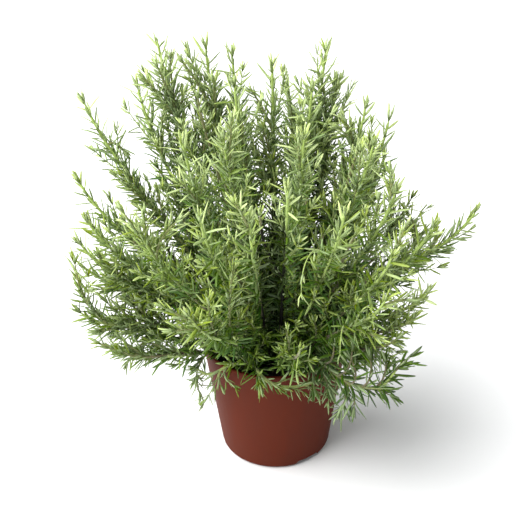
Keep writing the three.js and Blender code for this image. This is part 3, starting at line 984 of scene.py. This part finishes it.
def ring_faces(rings, sides, tip):
    """Faces of a tube of rings that ends in a tip point, and their map places from 0 to 1."""
    faces = []
    uvs = []
    for ring in range(rings - 1):
        for j in range(sides):
            a = ring * sides + j
            b = ring * sides + (j + 1) % sides
            faces.append(np.array([a, a + sides, b + sides, b]))
            low, high = ring / rings, (ring + 1) / rings
            uvs.append([(j / sides, low), (j / sides, high), ((j + 1) / sides, high), ((j + 1) / sides, low)])
    last = (rings - 1) * sides
    for j in range(sides):
        faces.append(np.array([last + j, tip, last + (j + 1) % sides]))
        low = (rings - 1) / rings
        uvs.append([(j / sides, low), ((j + 0.5) / sides, 1), ((j + 1) / sides, low)])
    faces.append(np.arange(sides))
    uvs.append([(j / sides, 0) for j in range(sides)])
    return faces, uvs


def add_leaves(growth, leaves, rings, section):
    """All the leaves of one kind: a rolled-edged blade, arched, curved sideways and a little twisted."""
    count = len(leaves["root"])
    if not count:
        return
    share = rings[:, 0][None, :, None]
    length = leaves["length"][:, None, None]
    ahead = leaves["direction"][:, None]
    spin = leaves["spin"][:, None, None] * share
    side, upper = turned(leaves["side"][:, None], leaves["upper"][:, None], spin)
    bend = leaves["bend"][:, None, None]
    curve = bend * leaves["upper"][:, None] + leaves["sickle"][:, None, None] * leaves["side"][:, None]
    centre = leaves["root"][:, None] + length * (share * ahead + share ** 2 * curve)
    upper = unit(upper - 2 * bend * share * ahead)
    half = 0.5 * leaves["width"][:, None, None] * rings[:, 1][None, :, None]
    blade = centre[:, :, None] + half[..., None] * (
        section[None, None, :, :1] * side[:, :, None] + section[None, None, :, 1:] * upper[:, :, None])
    blade = blade.reshape(count, -1, 3)
    tip = leaves["root"][:, None] + length * (ahead + curve)
    points = np.concatenate([blade, tip], axis=1)
    sides = len(section)
    each = len(rings) * sides + 1
    along = np.append(np.repeat(rings[:, 0], sides), 1)
    values = np.empty((count, each, 4))
    values[..., 0] = leaves["youth"][:, None]
    values[..., 1] = leaves["tone"][:, None]
    values[..., 2] = along
    values[..., 3] = leaves["bloom"][:, None]
    faces, uvs = ring_faces(len(rings), sides, each - 1)
    under = [1.0 if i < len(faces) - 1 and i % sides == sides - 1 else 0.0 for i in range(len(faces))]
    shifted = [face + each * i for i in range(count) for face in faces]
    cells = np.repeat(np.arange(count), len(faces))
    growth.add(points, values, shifted, uvs * count, cells, under * count, False)


def add_stem(growth, axis):
    """A tapered stem with slightly swollen nodes, from its foot to a rounded tip."""
    count = max(6, round(axis.route.length / STEM_RING_GAP))
    shares = np.linspace(0, 1, count)
    points, _, across, over = axis.route.axes(shares)
    swelling = 1 + NODE_SWELLING * np.cos(2 * math.pi * shares * axis.route.length / NODE_GAP)
    radius = axis.radius(shares) * swelling * np.where(shares == 1, STEM_END, 1)
    turn = np.array(around(STEM_SIDES))
    ring = across[:, None] * np.cos(turn)[:, None] + over[:, None] * np.sin(turn)[:, None]
    tube = points[:, None] + ring * radius[:, None, None]
    tip = points[-1] + axis.tip_radius * axis.route.headings(1)[0]
    placed = np.concatenate([tube.reshape(-1, 3), tip[None]])
    from_foot = np.append(np.repeat(shares * axis.route.length, STEM_SIDES), axis.route.length)
    values = np.empty((len(placed), 4))
    values[:, 0] = np.clip(axis.youth + smooth(*WOODY_STRETCH, from_foot), 0, 1)
    # The tone darkens stems deep inside the bush and in the front gap as painted shade.
    values[:, 1] = risen(INNER_PAINTED_SHADE_TONE, outerness(placed)) * np.where(in_cleft(placed), CLEFT_PAINTED_SHADE_TONE, 1)
    values[:, 2] = from_foot
    values[:, 3] = 0
    faces, uvs = ring_faces(count, STEM_SIDES, len(placed) - 1)
    growth.add(placed, values, faces, uvs, np.zeros(len(faces), int), [0.0] * len(faces), True)


def shoot_number(index):
    """A shoot's number: from 1, as in its node's name, but -2 to 0 where it arches over the rim."""
    return index - len(TRAILERS) + 1


def rooted_axis(stem, index):
    """A shoot's own stem. Where it arches over the rim, it has its own vigour, youth and spacing."""
    if index >= len(TRAILERS):
        vigour = WEAK_SHOOTS.get(shoot_number(index), 1)
        return Axis(stem, STEM_FOOT_RADIUS, STEM_TIP_RADIUS, STEM_BARE, vigour, 0)
    return Axis(stem, STEM_FOOT_RADIUS, STEM_TIP_RADIUS, STEM_BARE, TRAILING_VIGOUR[index],
                TRAILING_YOUTH[index], TRAILING_HANG, TRAILING_FRESH_AND_SHADE[index], TRAILING_GAP[index])


def branch_axis(rooted, share, tip):
    """A further twig, which has the nature of the stem that it leaves."""
    return Axis(branch_route(rooted.route, share, polar(*tip)), BRANCH_RADIUS, BRANCH_TAPER * BRANCH_RADIUS,
                BRANCH_BARE, BRANCH_VIGOUR * rooted.vigour, BRANCH_YOUTH * rooted.fresh_and_shade,
                BRANCH_HANG * rooted.hang, rooted.fresh_and_shade, rooted.gap, BRANCH_SPREAD)


def grow_shoot(stem, twig, index, settings):
    """All of one shoot: stem, twigs, sprigs and their leaves. The leaves of a low shoot hang."""
    rng = np.random.default_rng(SEED + index)
    rooted = rooted_axis(stem, index)
    axes = [rooted]
    if twig:
        axes.append(Axis(twig, TWIG_RADIUS, STEM_TIP_RADIUS, TWIG_BARE, TWIG_VIGOUR, TWIG_YOUTH))
    for share, *tip in BRANCHES.get(shoot_number(index), []):
        axes.append(branch_axis(rooted, share, tip))
    for axis in list(axes):
        axes.extend(grow_sprigs(axis, rng, axis is rooted))
    growth = Growth()
    for axis in axes:
        add_stem(growth, axis)
        main, small = leaf_rows(axis, rng, settings)
        if axis.vigour > LONG_LEAF_VIGOUR:
            add_leaves(growth, main, LONG_LEAF_RINGS, LEAF_SECTION)
        else:
            add_leaves(growth, main, SHORT_LEAF_RINGS, SHORT_LEAF_SECTION)
        add_leaves(growth, small, SHORT_LEAF_RINGS, SMALL_LEAF_SECTION)
    return growth


def shoot_object(growth, name, materials):
    """One shoot's object, with its growth values and its map."""
    mesh = bpy.data.meshes.new(name)
    mesh.from_pydata(np.concatenate(growth.points) * MM, [], growth.faces)
    values = mesh.attributes.new("growth", "FLOAT_COLOR", "POINT")
    values.data.foreach_set("color", np.concatenate(growth.growth).ravel())
    under = mesh.attributes.new("underside", "FLOAT", "FACE")
    under.data.foreach_set("value", growth.under)
    for material in materials:
        mesh.materials.append(material)
    mesh.polygons.foreach_set("material_index", np.array(growth.wood, dtype=np.int32))
    mesh.polygons.foreach_set("use_smooth", np.ones(len(growth.faces), dtype=bool))
    grid = math.ceil(math.sqrt(growth.cell_count))
    inner = 1 - 2 * CELL_MARGIN
    places = []
    for corners, cell in growth.uvs:
        column = cell % grid + CELL_MARGIN
        row = cell // grid + CELL_MARGIN
        for u, v in corners:
            places.extend(((column + inner * u) / grid, (row + inner * v) / grid))
    mesh.uv_layers.new(name="OFBake").data.foreach_set("uv", places)
    piece = bpy.data.objects.new(name, mesh)
    bpy.context.scene.collection.objects.link(piece)
    return piece


def leaf_material(settings):
    """Fresh rosemary leaf, leathery and waxed above: a soft gloss, with pale felt underneath."""
    material, tree = new_material(LEAF_FINISH)
    growth = add_node(tree, "Attribute", attribute_name="growth")
    parts = add_node(tree, "SeparateColor", {"Color": growth.outputs["Color"]})
    under = add_node(tree, "Attribute", attribute_name="underside").outputs["Fac"]
    place = add_node(tree, "TexCoord").outputs["Object"]
    blotch = add_node(tree, "TexNoise", {"Vector": place, "Scale": 1 / (LEAF_BLOTCH * MM), "Detail": 3})
    pits = add_node(tree, "TexNoise", {"Vector": place, "Scale": 1 / (LEAF_PIT * MM), "Detail": 2})
    upper = add_node(tree, "MixRGB", {
        "Fac": parts.outputs["Red"], "Color1": opaque(settings.mature), "Color2": opaque(settings.young)})
    foot = add_node(tree, "MapRange", {
        "Value": parts.outputs["Blue"], "From Max": 0.3, "To Min": 0.8, "To Max": 0})
    paled = add_node(tree, "MixRGB", {"Fac": foot, "Color1": upper, "Color2": opaque(settings.green_stem)})
    # The growth's green holds the leaf's random tone with painted shade deep inside, in the front gap and on
    # a low shoot, and painted light high up; it sets the value, and darker leaves get more saturation.
    tone = add_node(tree, "MapRange", {"Value": parts.outputs["Green"], "To Min": 0.24, "To Max": 1.52})
    depth = add_node(tree, "MapRange", {"Value": parts.outputs["Green"], "To Min": 1.8, "To Max": 0.85})
    own = add_node(tree, "HueSaturation", {"Saturation": depth, "Value": tone, "Color": paled})
    mottle = add_node(tree, "MapRange", {
        "Value": blotch, "From Min": 0.35, "From Max": 0.65, "To Min": 0.94, "To Max": 1.07})
    mottled = add_node(tree, "HueSaturation", {"Value": mottle, "Color": own})
    bloom = add_node(tree, "Math", {0: growth.outputs["Alpha"], 1: 0.22}, operation="MULTIPLY")
    waxed = add_node(tree, "MixRGB", {"Fac": bloom, "Color1": mottled, "Color2": opaque(settings.felt)})
    felted = add_node(tree, "Math", {0: under, 1: 0.72}, operation="MULTIPLY")
    face = add_node(tree, "MixRGB", {"Fac": felted, "Color1": waxed, "Color2": opaque(settings.felt)})
    rough = add_node(tree, "MapRange", {"Value": under, "To Min": 0.36, "To Max": 0.9})
    bump = add_node(tree, "Bump", {"Height": pits, "Strength": 0.25, "Distance": 0.12 * MM})
    shader = add_node(tree, "BsdfPrincipled", {
        "Base Color": face, "Roughness": rough, "Normal": bump, "IOR": 1.45})
    through = add_node(tree, "BsdfTranslucent", {"Color": face})
    both = add_node(tree, "MixShader", {"Fac": 0.2, 1: shader, 2: through})
    add_node(tree, "OutputMaterial", {"Surface": both})
    return material


def stem_material(settings):
    """Rosemary stem: downy green near the tip, grey-brown fissured bark below."""
    material, tree = new_material(STEM_FINISH)
    growth = add_node(tree, "Attribute", attribute_name="growth")
    parts = add_node(tree, "SeparateColor", {"Color": growth.outputs["Color"]})
    place = add_node(tree, "TexCoord").outputs["Object"]
    fissures = add_node(tree, "TexNoise", {"Vector": place, "Scale": 1 / (BARK_FISSURE * MM), "Detail": 4})
    wood = add_node(tree, "MapRange", {
        "Value": fissures, "From Min": 0.3, "From Max": 0.7, "To Min": 0.6, "To Max": 1.3})
    bark = add_node(tree, "HueSaturation", {"Value": wood, "Color": opaque(settings.wood)})
    aged = add_node(tree, "MixRGB", {
        "Fac": parts.outputs["Red"], "Color1": bark, "Color2": opaque(settings.green_stem)})
    # The growth's green darkens the stem deep inside the bush and in the front gap as painted shade, and dims
    # its downy sheen there too.
    skin = add_node(tree, "HueSaturation", {"Value": parts.outputs["Green"], "Color": aged})
    down = add_node(tree, "Math", {0: parts.outputs["Green"], 1: 0.25}, operation="MULTIPLY")
    bump = add_node(tree, "Bump", {"Height": fissures, "Strength": 0.5, "Distance": 0.3 * MM})
    shader = add_node(tree, "BsdfPrincipled", {
        "Base Color": skin, "Roughness": 0.75, "Normal": bump,
        "Sheen Weight": down, "Sheen Roughness": 0.6, "Specular IOR Level": 0.25})
    add_node(tree, "OutputMaterial", {"Surface": shader})
    return material


def finish_piece(piece, slot, *nodes):
    """Sets what a piece rides on and hides the nodes that it stands in place of."""
    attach(piece, BODY)
    if nodes:
        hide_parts(*nodes)


def make_shoots(indices):
    """Makes some of the planned shoots, each in place of its node."""
    settings = bpy.context.scene.rosemary_leaves
    if LEAF_FINISH in bpy.data.materials:
        materials = [bpy.data.materials[name] for name in (LEAF_FINISH, STEM_FINISH)]
    else:
        materials = [leaf_material(settings), stem_material(settings)]
    shoots = plan_shoots()
    for i in indices:
        node = f"trailing_shoot_{i + 1}" if i < len(TRAILERS) else f"shoot_{shoot_number(i)}"
        piece = shoot_object(grow_shoot(*shoots[i], i, settings), f"leafy_{node}", materials)
        finish_piece(piece, "foliage", node)


def wall_outside(height):
    """The radius of the pot's outside at a height, below the lip."""
    return BASE_RADIUS + (RIM_RADIUS - LIP_STEP - BASE_RADIUS) * height / POT_HEIGHT


def wall_inside(height):
    """The radius of the pot's inside at a height."""
    return wall_outside(height) - WALL


def rounded(centre, radius, first, last, steps):
    """Points of an arc in the profile's plane, from one angle to another in degrees."""
    points = []
    for i in range(steps + 1):
        turn = math.radians(first + (last - first) * i / steps)
        points.append((centre[0] + radius * math.cos(turn), centre[1] + radius * math.sin(turn)))
    return points


def pot_profile():
    """The moulding's section, from the middle of the underside round to the middle of the floor."""
    lip_foot = POT_HEIGHT - LIP_HEIGHT
    floor_top = FLOOR_LEVEL + FLOOR_THICK
    ring_inside = BASE_RADIUS - FOOT_ROUND - FOOT_RING
    foot_centre = (wall_outside(FOOT_ROUND) - FOOT_ROUND, FOOT_ROUND)
    lip_centre = (RIM_RADIUS - LIP_ROUND, POT_HEIGHT - LIP_ROUND)
    edge_centre = (wall_inside(POT_HEIGHT) + EDGE_ROUND, POT_HEIGHT - EDGE_ROUND)
    return [
        (0, FLOOR_LEVEL),
        (wall_inside(FLOOR_LEVEL) - FLOOR_HOLLOW, FLOOR_LEVEL),
        (wall_inside(FLOOR_LEVEL) - 0.4 * FLOOR_HOLLOW, FLOOR_LEVEL - EDGE_ROUND),
        (ring_inside, EDGE_ROUND),
        (ring_inside + EDGE_ROUND, 0),
        *rounded(foot_centre, FOOT_ROUND, -90, -8, steps=8),
        *((wall_outside(height), height) for height in np.linspace(FOOT_ROUND, lip_foot, WALL_POINTS)),
        (RIM_RADIUS - LIP_EASE[0], lip_foot + LIP_EASE[1]),
        (RIM_RADIUS, lip_foot + LIP_STEP),
        *rounded(lip_centre, LIP_ROUND, 0, 90, steps=5),
        *rounded(edge_centre, EDGE_ROUND, 90, 180, steps=3),
        (wall_inside(floor_top + FLOOR_HOLLOW), floor_top + FLOOR_HOLLOW),
        (wall_inside(floor_top) - 0.8 * FLOOR_HOLLOW, floor_top),
        (0, floor_top),
    ]


def level_ring(radius, height, sides, centre=(0, 0)):
    """Places round a level circle, or its middle alone where the radius is 0."""
    if radius == 0:
        return [(*centre, height)]
    return [
        (centre[0] + radius * math.cos(turn), centre[1] + radius * math.sin(turn), height)
        for turn in around(sides)]


def add_rings(bm, rings):
    """Adds rings of places in millimetres to an edited mesh."""
    return [[bm.verts.new((x * MM, y * MM, z * MM)) for x, y, z in ring] for ring in rings]


def join_rings(bm, rings):
    """Faces between each ring of points and the next. A ring of one point closes a round body."""
    sides = max(len(ring) for ring in rings)
    for first, last in zip(rings, rings[1:]):
        for i in range(sides):
            j = (i + 1) % sides
            corners = [
                first[i % len(first)], first[j % len(first)], last[j % len(last)], last[i % len(last)]]
            bm.faces.new(list(dict.fromkeys(corners)))


def close_prism(bm, rings):
    """The sides and ends of a prism between two rings of as many points."""
    join_rings(bm, rings)
    bm.faces.new(rings[0][::-1])
    bm.faces.new(rings[1])


def mesh_object(name, bm):
    """Turns an edited mesh into an object in the scene."""
    bmesh.ops.recalc_face_normals(bm, faces=bm.faces)
    mesh = bpy.data.meshes.new(name)
    bm.to_mesh(mesh)
    bm.free()
    piece = bpy.data.objects.new(name, mesh)
    bpy.context.scene.collection.objects.link(piece)
    return piece


def notch_cutter(bm, azimuth):
    """A low arch with rounded corners, pushed out through the standing ring."""
    half = NOTCH_WIDTH / 2
    corner = NOTCH_TOP * half - NOTCH_CORNER
    arch = [(-half, -1), (half, -1)]
    arch += rounded((corner, NOTCH_HEIGHT - NOTCH_CORNER), NOTCH_CORNER, 12, 90, steps=5)
    arch += rounded((-corner, NOTCH_HEIGHT - NOTCH_CORNER), NOTCH_CORNER, 90, 168, steps=5)
    place = Matrix.Rotation(math.radians(azimuth + 90), 4, "Z")
    rings = []
    for depth in (-BASE_RADIUS / 3, -4 * BASE_RADIUS / 3):
        rings.append([bm.verts.new(place @ Vector((x * MM, depth * MM, z * MM))) for x, z in arch])
    close_prism(bm, rings)


def drain_cutter(bm, azimuth):
    """A round bar through the pot's floor."""
    centre = tuple(polar(azimuth, DRAIN_RING, 0)[:2])
    heights = (FLOOR_LEVEL - FLOOR_THICK, FLOOR_LEVEL + 3 * FLOOR_THICK)
    rings = [level_ring(DRAIN_RADIUS, height, DRAIN_SIDES, centre) for height in heights]
    close_prism(bm, add_rings(bm, rings))


def cut(piece, cutter):
    """Takes one closed mesh out of another and removes the cutter."""
    modifier = piece.modifiers.new("cut", "BOOLEAN")
    modifier.operation = "DIFFERENCE"
    modifier.solver = "EXACT"
    modifier.object = cutter
    bpy.context.view_layer.update()
    graph = bpy.context.evaluated_depsgraph_get()
    result = bpy.data.meshes.new_from_object(piece.evaluated_get(graph))
    piece.modifiers.clear()
    old = piece.data
    piece.data = result
    bpy.data.meshes.remove(old)
    bpy.data.objects.remove(cutter)


def pot_material(settings):
    """Moulded polypropylene: satin, with a fine mould grain and faint flow marks up the wall."""
    material, tree = new_material("terracotta brown polypropylene, moulded")
    place = add_node(tree, "TexCoord").outputs["Object"]
    grain = add_node(tree, "TexNoise", {"Vector": place, "Scale": 1 / (MOULD_GRAIN * MM), "Detail": 3})
    stretch = add_node(tree, "Mapping", {"Vector": place, "Scale": (1, 1, FLOW_STRETCH)})
    flow = add_node(tree, "TexNoise", {
        "Vector": stretch, "Scale": 1 / (FLOW_MARK * MM), "Detail": 4, "Roughness": 0.6})
    tone = add_node(tree, "MapRange", {
        "Value": flow, "From Min": 0.3, "From Max": 0.7, "To Min": 0.93, "To Max": 1.07})
    base = add_node(tree, "HueSaturation", {"Value": tone, "Color": opaque(settings.plastic)})
    rough = add_node(tree, "MapRange", {
        "Value": flow, "From Min": 0.3, "From Max": 0.7,
        "To Min": settings.roughness - 0.07, "To Max": settings.roughness + 0.07})
    bump = add_node(tree, "Bump", {"Height": grain, "Strength": 0.2, "Distance": 0.12 * MM})
    shader = add_node(tree, "BsdfPrincipled", {
        "Base Color": base, "Roughness": rough,
        "Normal": bump, "IOR": 1.49, "Specular IOR Level": 0.08})
    add_node(tree, "OutputMaterial", {"Surface": shader})
    return material


def compost_material(settings):
    """Moist peat compost with bark: dark and crumbly, with lighter fibres."""
    material, tree = new_material("peat and bark compost, moist")
    place = add_node(tree, "TexCoord").outputs["Object"]
    crumbs = add_node(tree, "TexNoise", {"Vector": place, "Scale": 1 / (PEAT_CRUMB * MM), "Detail": 5})
    share = add_node(tree, "MapRange", {"Value": crumbs, "From Min": 0.5, "From Max": 0.75})
    base = add_node(tree, "MixRGB", {
        "Fac": share, "Color1": opaque(settings.peat), "Color2": opaque(settings.bark)})
    bump = add_node(tree, "Bump", {"Height": crumbs, "Strength": 0.8, "Distance": 1 * MM})
    shader = add_node(tree, "BsdfPrincipled", {"Base Color": base, "Roughness": 0.92, "Normal": bump})
    add_node(tree, "OutputMaterial", {"Surface": shader})
    return material


def soil_height(x, y):
    """The top of the compost: level in the middle, lower at the wall, with lumps."""
    reach = math.hypot(x, y)
    edge = wall_inside(SOIL_LEVEL) - FIT_GAP
    drop = SOIL_EDGE_DROP * max(0, (reach - SOIL_RING) / (edge - SOIL_RING))
    wave = SOIL_BUMP * math.sin(0.13 * x + 1) * math.cos(0.11 * y + 0.4)
    lumps = noise.noise(Vector((x, y, 0)) / LUMP_WIDTH)
    lumps += 0.5 * noise.noise(Vector((x, y, 9)) / SMALL_LUMP_WIDTH)
    return SOIL_LEVEL - drop + wave * max(0, 1 - reach / edge) + LUMP_HEIGHT * lumps


def make_soil():
    """The compost's solid, its top lumpy, down to the pot's floor."""
    bm = bmesh.new()
    low = FLOOR_LEVEL + FLOOR_THICK + FIT_GAP
    edge = wall_inside(SOIL_LEVEL - SOIL_EDGE_DROP) - FIT_GAP
    flat = [level_ring(edge * k / SOIL_RINGS, 0, SOIL_SIDES) for k in range(SOIL_RINGS + 1)]
    top = [[(x, y, soil_height(x, y)) for x, y, _ in ring] for ring in flat]
    foot = level_ring(wall_inside(low) - FIT_GAP, low, SOIL_SIDES)
    join_rings(bm, add_rings(bm, [*top, foot, level_ring(0, low, SOIL_SIDES)]))
    piece = mesh_object("compost_body", bm)
    piece.data.shade_smooth()
    return piece


def make_crumbs(settings):
    """Loose crumbs and bark chips that lie on the compost."""
    rng = np.random.default_rng(SEED)
    bm = bmesh.new()
    edge = wall_inside(SOIL_LEVEL) - FIT_GAP
    for _ in range(settings.crumbs):
        size = settings.crumb_size / MM * rng.lognormal(*CRUMB_LOG_SIZE)
        reach = (edge - CRUMB_CLEARANCE - size) * math.sqrt(rng.random())
        turn = rng.uniform(0, 2 * math.pi)
        x, y = reach * math.cos(turn), reach * math.sin(turn)
        lift = soil_height(x, y) + CRUMB_LIFT * size
        shape = [rng.uniform(*widths) for widths in CRUMB_SHAPE]
        spin = Matrix.Rotation(rng.uniform(0, 2 * math.pi), 4, "Z") @ Matrix.Rotation(
            rng.uniform(-CRUMB_TILT, CRUMB_TILT), 4, "X")
        place = Matrix.Translation(Vector((x, y, lift)) * MM) @ spin @ Matrix.Diagonal((*shape, 1))
        made = bmesh.ops.create_icosphere(bm, subdivisions=1, radius=size / 2 * MM, matrix=place)
        for vert in made["verts"]:
            vert.co += Vector(rng.normal(0, CRUMB_ROUGHNESS * size * MM, 3))
    return mesh_object("compost_crumbs", bm)


class MakePot(bpy.types.Operator):
    """Makes the moulded pot with its lip, standing ring, water notches and drain holes"""
    bl_idname = "rosemary.make_pot"
    bl_label = "Pot"

    def execute(self, context):
        bm = bmesh.new()
        rings = [level_ring(radius, height, POT_SIDES) for radius, height in pot_profile()]
        join_rings(bm, add_rings(bm, rings))
        pot = mesh_object("moulded_pot", bm)
        bm = bmesh.new()
        for i in range(NOTCH_COUNT):
            notch_cutter(bm, FIRST_NOTCH + i * 360 / NOTCH_COUNT)
        for i in range(DRAIN_COUNT):
            drain_cutter(bm, FIRST_DRAIN + i * 360 / DRAIN_COUNT)
        cut(pot, mesh_object("pot_cutters", bm))
        pot.data.shade_smooth()
        pot.data.set_sharp_from_angle(angle=math.radians(SHARP_EDGE))
        pot.data.materials.append(pot_material(context.scene.rosemary_pot))
        finish_piece(pot, "pot", "pot")
        return {"FINISHED"}


class MakeCompost(bpy.types.Operator):
    """Makes the compost and the loose crumbs on it"""
    bl_idname = "rosemary.make_compost"
    bl_label = "Compost"

    def execute(self, context):
        settings = context.scene.rosemary_compost
        material = compost_material(settings)
        body = make_soil()
        crumbs = make_crumbs(settings)
        for piece in (body, crumbs):
            piece.data.materials.append(material)
        finish_piece(body, "compost", "soil")
        finish_piece(crumbs, "compost")
        return {"FINISHED"}


class MakeTrailingShoots(bpy.types.Operator):
    """Makes the shoots that arch over the rim"""
    bl_idname = "rosemary.make_trailing_shoots"
    bl_label = "Trailing shoots"

    def execute(self, context):
        make_shoots(range(len(TRAILERS)))
        return {"FINISHED"}


class MakeShoots(bpy.types.Operator):
    """Makes the upright and arching shoots of the bush"""
    bl_idname = "rosemary.make_shoots"
    bl_label = "Shoots"

    def execute(self, context):
        make_shoots(range(len(TRAILERS), len(TRAILERS) + len(LEADERS) + FILL_COUNT))
        return {"FINISHED"}


# Stage
CAMERA_TARGET = (-9.4, 0, 174.2)
CAMERA_ROLL = -1.0
FOCAL_PIXELS = 1212
PICTURE_PIXELS = 524
SENSOR = 36
FLOOR_SIZE = 8
FLOOR_DROP = 0.2

# Lights: the place and the width in metres, and the power in watts
LIGHTS = {"key": ((-2.8, -0.6, 3.3), 6, 610), "fill": ((0.2, -3, 1.6), 2.4, 9)}
LIGHT_TARGET = (0, 0, 0.18)
SKY_COLOUR = (0.95, 0.985, 1)
SKY_STRENGTH = 0.38


def make_floor(settings):
    """A large matt white board under the pot."""
    bm = bmesh.new()
    bmesh.ops.create_grid(bm, x_segments=1, y_segments=1, size=FLOOR_SIZE / 2)
    floor = mesh_object("floor", bm)
    floor.location.z = -FLOOR_DROP * MM
    material, tree = new_material("white board, matt")
    shader = add_node(tree, "BsdfPrincipled", {
        "Base Color": opaque(settings.floor), "Roughness": 0.9, "Specular IOR Level": 0.2})
    add_node(tree, "OutputMaterial", {"Surface": shader})
    floor.data.materials.append(material)


def make_light(name, place, size, power):
    """A soft square light aimed at the middle of the plant."""
    data = bpy.data.lights.new(name, "AREA")
    data.size = size
    data.energy = power
    light = bpy.data.objects.new(name, data)
    light.location = place
    aim = Vector(LIGHT_TARGET) - Vector(place)
    light.rotation_euler = aim.to_track_quat("-Z", "Y").to_euler()
    bpy.context.scene.collection.objects.link(light)


def make_camera(settings):
    """The camera looks down on the front of the plant."""
    rise = settings.elevation
    back = Vector((0, -math.cos(rise), math.sin(rise)))
    right = Vector((1, 0, 0))
    up = back.cross(right)
    roll = math.radians(CAMERA_ROLL)
    turned_right = right * math.cos(roll) + up * math.sin(roll)
    turned_up = up * math.cos(roll) - right * math.sin(roll)
    camera = bpy.data.objects.new("camera", bpy.data.cameras.new("camera"))
    camera.data.sensor_width = SENSOR
    camera.data.lens = FOCAL_PIXELS / PICTURE_PIXELS * SENSOR
    place = Vector(CAMERA_TARGET) * MM + back * settings.distance
    camera.matrix_world = Matrix.Translation(place) @ Matrix(
        (turned_right, turned_up, back)).transposed().to_4x4()
    bpy.context.scene.collection.objects.link(camera)
    bpy.context.scene.camera = camera


class MakeStage(bpy.types.Operator):
    """Makes the floor, the soft lights and the camera"""
    bl_idname = "rosemary.make_stage"
    bl_label = "Stage"

    def execute(self, context):
        settings = context.scene.rosemary_stage
        make_floor(settings)
        for name, light in LIGHTS.items():
            make_light(name, *light)
        world = bpy.data.worlds.new("studio")
        world.use_nodes = True
        sky = world.node_tree.nodes["Background"]
        sky.inputs["Color"].default_value = opaque(SKY_COLOUR)
        sky.inputs["Strength"].default_value = SKY_STRENGTH
        context.scene.world = world
        context.scene.view_settings.view_transform = "Standard"
        make_camera(settings)
        return {"FINISHED"}


class RosemaryPanel(bpy.types.Panel):
    """The sizes and colours of the plant, and its operators"""
    bl_idname = "VIEW3D_PT_rosemary"
    bl_label = "Potted rosemary"
    bl_space_type = "VIEW_3D"
    bl_region_type = "UI"
    bl_category = "Rosemary"

    def draw(self, context):
        for settings_name, kind in SETTINGS.items():
            box = self.layout.box()
            settings = getattr(context.scene, settings_name)
            for name in kind.__annotations__:
                box.prop(settings, name)
        for operator in OPERATORS:
            self.layout.operator(operator.bl_idname)


SETTINGS = {
    "rosemary_pot": PotSettings,
    "rosemary_compost": CompostSettings,
    "rosemary_leaves": LeafSettings,
    "rosemary_stage": StageSettings,
}
OPERATORS = (MakePot, MakeCompost, MakeTrailingShoots, MakeShoots, MakeStage)
CLASSES = (*SETTINGS.values(), *OPERATORS, RosemaryPanel)


def register():
    for kind in CLASSES:
        bpy.utils.register_class(kind)
    for name, kind in SETTINGS.items():
        setattr(bpy.types.Scene, name, PointerProperty(type=kind))


def unregister():
    for name in SETTINGS:
        delattr(bpy.types.Scene, name)
    for kind in reversed(CLASSES):
        bpy.utils.unregister_class(kind)


def main():
    register()
    bpy.ops.rosemary.make_stage()
    bpy.ops.rosemary.make_pot()
    bpy.ops.rosemary.make_compost()
    bpy.ops.rosemary.make_trailing_shoots()
    bpy.ops.rosemary.make_shoots()
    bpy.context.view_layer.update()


if __name__ == "__main__":
    main()
